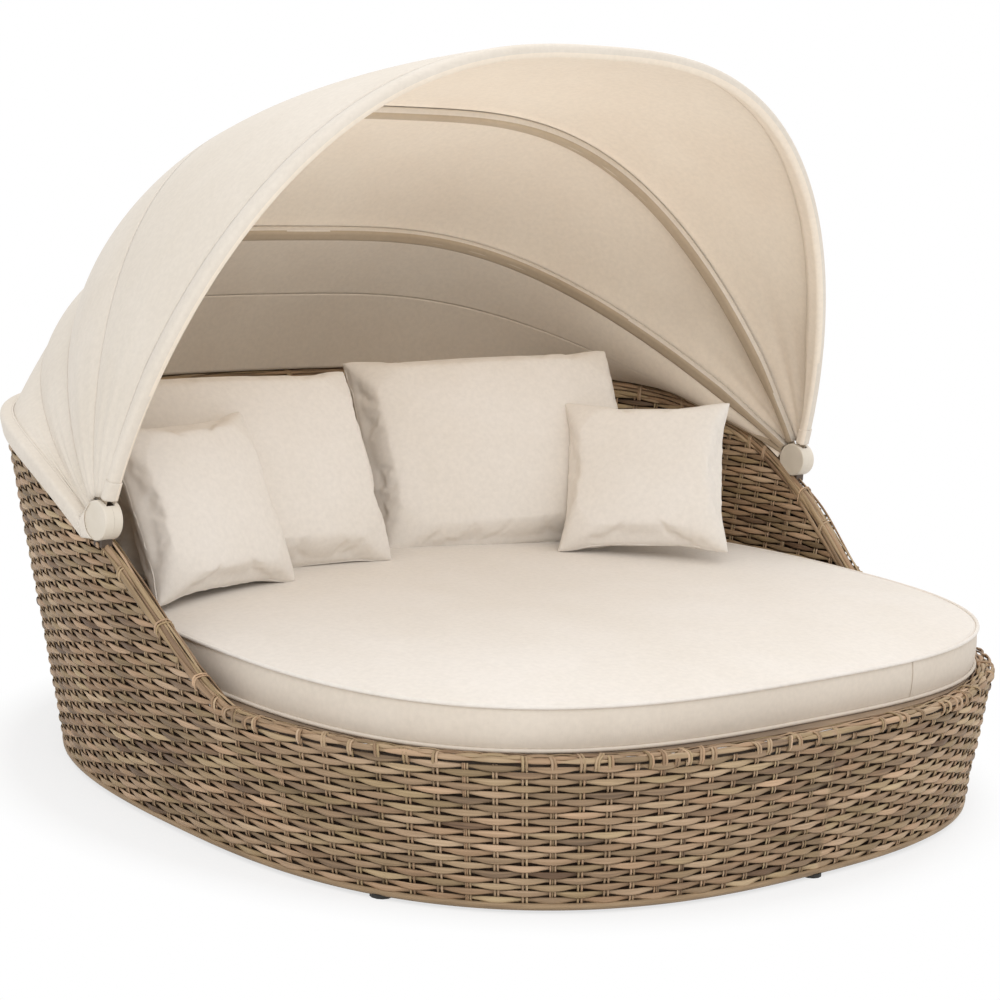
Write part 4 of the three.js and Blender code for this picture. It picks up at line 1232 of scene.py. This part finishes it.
cushion = dict(
    frontRoundness=2.99,
    backRoundness=1.95,
    behind=-0.031,
    piping=4.2 * mm,
    pipingInset=4 * mm,
    crown=26 * mm,
    crownReach=0.45,
    uneven=2.2 * mm,
    side=90 * mm,
    swell=4 * mm,
    seamTurn=-78.0,
    seamHalf=1.6 * mm,
    seamDepth=0.9 * mm,
)
cushionLow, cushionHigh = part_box("seat_cushion")
cushionMiddle = shellY + cushion["behind"]
cushionTurns = np.linspace(0, 2 * math.pi, 361)[:-1]


def cushionPoint(turn, inset, height):
    turn = np.asarray(turn, float)
    across, along = np.cos(turn), np.sin(turn)
    isFront = along < 0
    depth = np.where(isFront, cushionMiddle - cushionLow.y, cushionHigh.y - cushionMiddle) - inset
    power = 2 / np.where(isFront, cushion["frontRoundness"], cushion["backRoundness"])
    x = (cushionHigh.x - inset) * np.sign(across) * np.abs(across) ** power
    y = depth * np.sign(along) * np.abs(along) ** power + cushionMiddle
    return np.stack(np.broadcast_arrays(x, y, height), -1)


def polarPiece(name, rings, startPole, endPole):
    count, size = len(rings), len(rings[0])
    points = np.concatenate([*rings, [startPole, endPole]])
    corner = np.arange(size)
    after = (corner + 1) % size
    faces = []
    for ring in range(count - 1):
        here, following = ring * size, (ring + 1) * size
        faces += np.stack([here + corner, here + after, following + after, following + corner], -1).tolist()
    mesh = bpy.data.meshes.new(name)
    caps = [[int(after[k]), k, count * size] for k in range(size)]
    last = (count - 1) * size
    caps += [[last + k, last + int(after[k]), count * size + 1] for k in range(size)]
    mesh.from_pydata(points.tolist(), [], faces + caps)
    mesh.validate()
    mesh.shade_smooth()
    return newObject(name, mesh)


def crownAt(depth):
    return cushion["crown"] * (1 - (1 - min(1, depth / cushion["crownReach"])) ** 3)


# One closed loop of the cover, drawn in towards the middle by a share
def cushionRing(inset, height, share=1.0):
    ring = cushionPoint(cushionTurns, inset, height)
    middle = np.array([0, cushionMiddle, height])
    return middle + (ring - middle) * share


def seatCushion():
    bottom = cushionLow.z
    top = bottom + cushion["side"]
    shares = np.linspace(1, 0, 20)[1:-1]
    rings = [cushionRing(0.02, bottom, share) for share in shares[::-1]]
    rings += [cushionRing(0.02, bottom), cushionRing(0.011, bottom + 0.8 * mm)]
    for level in np.linspace(0, 1, 15):
        belly = cushion["swell"] * math.sin(math.pi * level) ** 0.7
        rings.append(cushionRing(7 * mm - belly, bottom + 4 * mm + level * (cushion["side"] - 8 * mm)))
    for inset in (0.011, 0.017, 0.026, 0.04):
        rings.append(cushionRing(inset, top + crownAt(inset - 8 * mm) - 1 * mm))
    rings += [cushionRing(0.04, top + crownAt(0.032 + (1 - share) * 0.8), share) for share in shares]
    for ring in rings[-len(shares) - 4:]:
        for point in ring:
            point[2] += cushion["uneven"] * noise.noise(Vector((point[0] * 2.3, point[1] * 2.3, 4.0)))
    ends = (0, cushionMiddle, bottom), (0, cushionMiddle, top + cushion["crown"])
    return polarPiece("seat_cushion_cover", rings, *ends)


def pipingTube(name, line, radius):
    pile = newPile()
    addStrand(pile, line, unit(line - line.mean(0)), radius, radius, 0.5, ringOf(8), closed=True)
    piece = meshFromArrays(name, pile["points"][0], pile["faces"][0], pile["uvs"][0])
    return finishPiece(piece, "cushion")


# Painted shade: the cover's upright faces take a darker copy of the cushion cloth, and so does the bottom
# piping, for the contact shadow where it sits on the border
def dressCushion():
    seat = seatCushion()
    finishPiece(seat, "cushion", replaced=["seat_cushion"])
    seat.data.materials.append(finishes["cushionPaintedShade"])
    # Painted shade: faces that stand upright take the darker cloth
    for polygon in seat.data.polygons:
        polygon.material_index = int(abs(polygon.normal.z) < 0.6)
    for label, level in (("top", cushionLow.z + cushion["side"] - 3 * mm), ("bottom", cushionLow.z + 4 * mm)):
        line = cushionPoint(cushionTurns, cushion["pipingInset"], level)
        edging = pipingTube(f"seat_cushion_piping_{label}", line, cushion["piping"])
        # Painted shade: the bottom piping takes the darker cloth, for the contact shadow on the border
        if label == "bottom":
            edging.data.materials[0] = finishes["cushionPaintedShade"]


# The one upright seam in that band
def sideSeam():
    turn = math.radians(cushion["seamTurn"])
    pile, levels = newPile(), np.linspace(0.04, 0.96, 25)
    insets = 6 * mm - cushion["swell"] * np.sin(math.pi * levels) ** 0.7
    heights = cushionLow.z + levels * cushion["side"]
    line = np.stack([cushionPoint(turn, inset, height) for inset, height in zip(insets, heights)])
    outward = line - np.array([0, shellY, 0])
    addStrand(pile, line, outward, cushion["seamHalf"], cushion["seamDepth"], 0.5, roundStrand)
    piece = meshFromArrays("seat_cushion_side_seam", pile["points"][0], pile["faces"][0])
    # Painted shade: the seam takes the side band's darker cloth
    finishPiece(piece, "cushionPaintedShade")


dressCushion()
sideSeam()
print("cushion filled")

# Pillows

largePillow = dict(
    width=0.722, height=0.498, cutThickness=0.136, cutIn=-0.010, mostMove=0.03, seam=2.2 * mm, relax=14
)
smallPillow = dict(
    width=0.424, height=0.419, cutThickness=0.094, cutIn=0.006, mostMove=0.024, seam=2.0 * mm, relax=12
)
pillowSizes = dict(large=largePillow, tall=dict(largePillow, width=0.732, height=0.526), small=smallPillow)
stuffing = dict(cells=44, cell=6 * mm, pressure=4.0, quality=6, stretch=14, shear=6, bend=0.12, steps=20)
pillows = dict(
    back_pillow_left=dict(size="large", place=(-0.4740, 0.3666, 0.6157), tilt=(58.4, -0.3, -5.9)),
    back_pillow_right=dict(size="tall", place=(0.2964, 0.3634, 0.6228), tilt=(58.4, -2.7, -15.6)),
    throw_pillow_left=dict(size="small", place=(-0.6831, 0.1906, 0.5877), tilt=(61.1, -0.5, 9.1)),
    throw_pillow_right=dict(size="small", place=(0.4962, 0.0571, 0.5963), tilt=(54.7, -4.4, -47.5)),
)


def pillowPlace(pillow):
    x, y, z = (math.radians(angle) for angle in pillow["tilt"])
    turn = Matrix.Rotation(z, 4, "Z") @ Matrix.Rotation(y, 4, "Y") @ Matrix.Rotation(x, 4, "X")
    return Matrix.Translation(pillow["place"]) @ turn


# Half of the cover's outline and height over its own middle, cut a little flatter than the stuffed pillow
def pillowShape(size, cells):
    eased = np.sin((np.arange(cells + 1) / cells - 0.5) * np.pi)
    u, v = np.meshgrid(eased, eased, indexing="ij")
    x = u * (size["width"] / 2 - size["cutIn"] * (1 - v * v))
    y = v * (size["height"] / 2 - size["cutIn"] * (1 - u * u))
    z = size["cutThickness"] / 2 * np.maximum(0, (1 - u * u) * (1 - v * v)) ** 0.42
    return x, y, z


# The cover is blown up like a filled one, which draws in its sides and puckers it along the seam
def inflate(piece, size):
    even = piece.modifiers.new("even", "REMESH")
    even.mode = "VOXEL"
    even.voxel_size = stuffing["cell"]
    applyModifier(piece, even)
    before = coordinates(piece)
    cloth = piece.modifiers.new("cloth", "CLOTH")
    settings = cloth.settings
    settings.quality = stuffing["quality"]
    settings.tension_stiffness = settings.compression_stiffness = stuffing["stretch"]
    settings.shear_stiffness = stuffing["shear"]
    settings.bending_stiffness = stuffing["bend"]
    settings.use_pressure = True
    settings.uniform_pressure_force = stuffing["pressure"]
    settings.effector_weights.gravity = 0
    cloth.point_cache.frame_start, cloth.point_cache.frame_end = 1, stuffing["steps"]
    for step in range(1, stuffing["steps"] + 1):
        bpy.context.scene.frame_set(step)
    applyModifier(piece, cloth)
    bpy.context.scene.frame_set(1)
    moved = coordinates(piece) - before
    length = np.linalg.norm(moved, axis=1, keepdims=True)
    moved *= np.minimum(1, size["mostMove"] / np.maximum(length, 1e-6))
    piece.data.vertices.foreach_set("co", (before + moved).astype(np.float32).ravel())
    finer = piece.modifiers.new("finer", "SUBSURF")
    finer.levels = finer.render_levels = 1
    applyModifier(piece, finer)
    relaxed = piece.modifiers.new("relaxed", "SMOOTH")
    relaxed.factor = 0.5
    relaxed.iterations = size["relax"]
    applyModifier(piece, relaxed)


# The seam's line: the farthest point of the cover in each direction, close to its middle plane
def seamLoop(piece, size, count=240):
    points = coordinates(piece)
    points = points[np.abs(points[:, 2]) < 12 * mm]
    angle = np.arctan2(points[:, 1] / size["height"], points[:, 0] / size["width"])
    radius = np.hypot(points[:, 0], points[:, 1])
    loop = []
    for direction in np.linspace(-math.pi, math.pi, count + 1)[:-1]:
        aside = np.abs((angle - direction + math.pi) % (2 * math.pi) - math.pi)
        loop.append(points[np.argmax(radius - 2 * aside)])
    loop = np.array(loop)
    loop[:, 2] *= 0.3
    for step in range(2):
        loop = (np.roll(loop, 1, 0) + 2 * loop + np.roll(loop, -1, 0)) / 4
    return loop


# Front and back of the cover, joined along the rim
def flatCover(name, size):
    cells = stuffing["cells"]
    x, y, z = pillowShape(size, cells)
    points, faces, index = [], [], {}
    for side in (1, -1):
        for i in range(cells + 1):
            for j in range(cells + 1):
                rim = i in (0, cells) or j in (0, cells)
                key = (0 if rim else side, i, j)
                if key not in index:
                    index[key] = len(points)
                    points.append((x[i, j], y[i, j], side * z[i, j]))
        for i in range(cells):
            for j in range(cells):
                corners = [(i, j), (i + 1, j), (i + 1, j + 1), (i, j + 1)]
                ids = [index[(0 if a in (0, cells) or b in (0, cells) else side, a, b)] for a, b in corners]
                faces.append(ids if side > 0 else ids[::-1])
    mesh = bpy.data.meshes.new(name)
    mesh.from_pydata(points, [], faces)
    mesh.validate()
    return newObject(name, mesh)


def pillowCover(name, pillow):
    size = pillowSizes[pillow["size"]]
    piece = flatCover(name, size)
    inflate(piece, size)
    loop = seamLoop(piece, size)
    piece.data.shade_smooth()
    place = pillowPlace(pillow)
    piece.data.transform(place)
    finishPiece(piece, "cushion", replaced=[name.replace("_cover", "")])
    line = np.array([place @ Vector(point) for point in loop])
    pipingTube(name.replace("cover", "seam"), line, size["seam"])


for pillowName, pillow in pillows.items():
    pillowCover(f"{pillowName}_cover", pillow)
    print(pillowName, "stuffed")

# Floor, light and backdrop

stage = dict(
    floorSize=60,
    floorColour=(0.95, 0.95, 0.95, 1),
    fadeReach=4.0,
    fadeStart=(0.262, 0.7),
    fadeEnd=(0.295, 1.0),
    worldStrength=0.88,
)


# 1 for what the camera sees, straight, in gloss or through glass
def seenShare(tree):
    path = addNode(tree, "ShaderNodeLightPath")
    seen = mathNode(tree, "MAXIMUM", path.outputs["Is Camera Ray"], path.outputs["Is Glossy Ray"])
    return mathNode(tree, "MAXIMUM", seen, path.outputs["Is Transmission Ray"])


# The floor holds the shadow near the object, and fades to plain white further out
def addFloor():
    bpy.ops.mesh.primitive_plane_add(size=stage["floorSize"])
    floor = bpy.context.object
    floor.name = "paleFloor"
    material, tree, shader = newMaterial("paleFloor")
    shader.inputs["Base Color"].default_value = stage["floorColour"]
    shader.inputs["Roughness"].default_value = 0.95
    shader.inputs["Specular IOR Level"].default_value = 0.0
    place = addNode(tree, "ShaderNodeTexCoord").outputs["Object"]
    distance = addNode(tree, "ShaderNodeVectorMath", {0: place}, operation="LENGTH").outputs["Value"]
    reach = mathNode(tree, "DIVIDE", distance, stage["fadeReach"])
    far = ramp(tree, reach, stage["fadeStart"], stage["fadeEnd"])
    glow = addNode(tree, "ShaderNodeEmission", {"Color": (1, 1, 1, 1), "Strength": 1.0})
    mixed = addNode(tree, "ShaderNodeMixShader", {0: mathNode(tree, "MULTIPLY", far, seenShare(tree))})
    tree.links.new(shader.outputs[0], mixed.inputs[1])
    tree.links.new(glow.outputs[0], mixed.inputs[2])
    tree.links.new(mixed.outputs[0], tree.nodes["Material Output"].inputs["Surface"])
    floor.data.materials.append(material)


def addWorld():
    world = bpy.data.worlds.new("studio")
    bpy.context.scene.world = world
    world.use_nodes = True
    tree = world.node_tree
    background = tree.nodes["Background"]
    background.inputs["Color"].default_value = (1, 1, 1, 1)
    levels = {0: seenShare(tree), 1: 0.0, 2: 1.0, 3: stage["worldStrength"], 4: 1.0}
    strength = addNode(tree, "ShaderNodeMapRange", levels)
    tree.links.new(strength.outputs[0], background.inputs["Strength"])


def addLamp(name, place, target, width, depth, power):
    bpy.ops.object.light_add(type="AREA", location=place)
    lamp = bpy.context.object
    lamp.name = name
    lamp.data.shape = "RECTANGLE"
    lamp.data.size = width
    lamp.data.size_y = depth
    lamp.data.energy = power
    lamp.visible_camera = False
    lamp.rotation_mode = "QUATERNION"
    lamp.rotation_quaternion = (Vector(target) - Vector(place)).to_track_quat("-Z", "Y")


addFloor()
addWorld()
addLamp("softKey", (-2.6, -3.4, 4.2), (0, 0, 0.4), 3.0, 3.0, 62)
addLamp("softTop", (1.4, 0.6, 4.6), (0, 0, 0.5), 3.0, 3.0, 45)
addLamp("canopyFill", (0, 0.2, 0.95), (0, 0.2, 1.6), 1.1, 0.26, 1.5)
bpy.context.scene.view_settings.view_transform = "Standard"
print("stage lit")
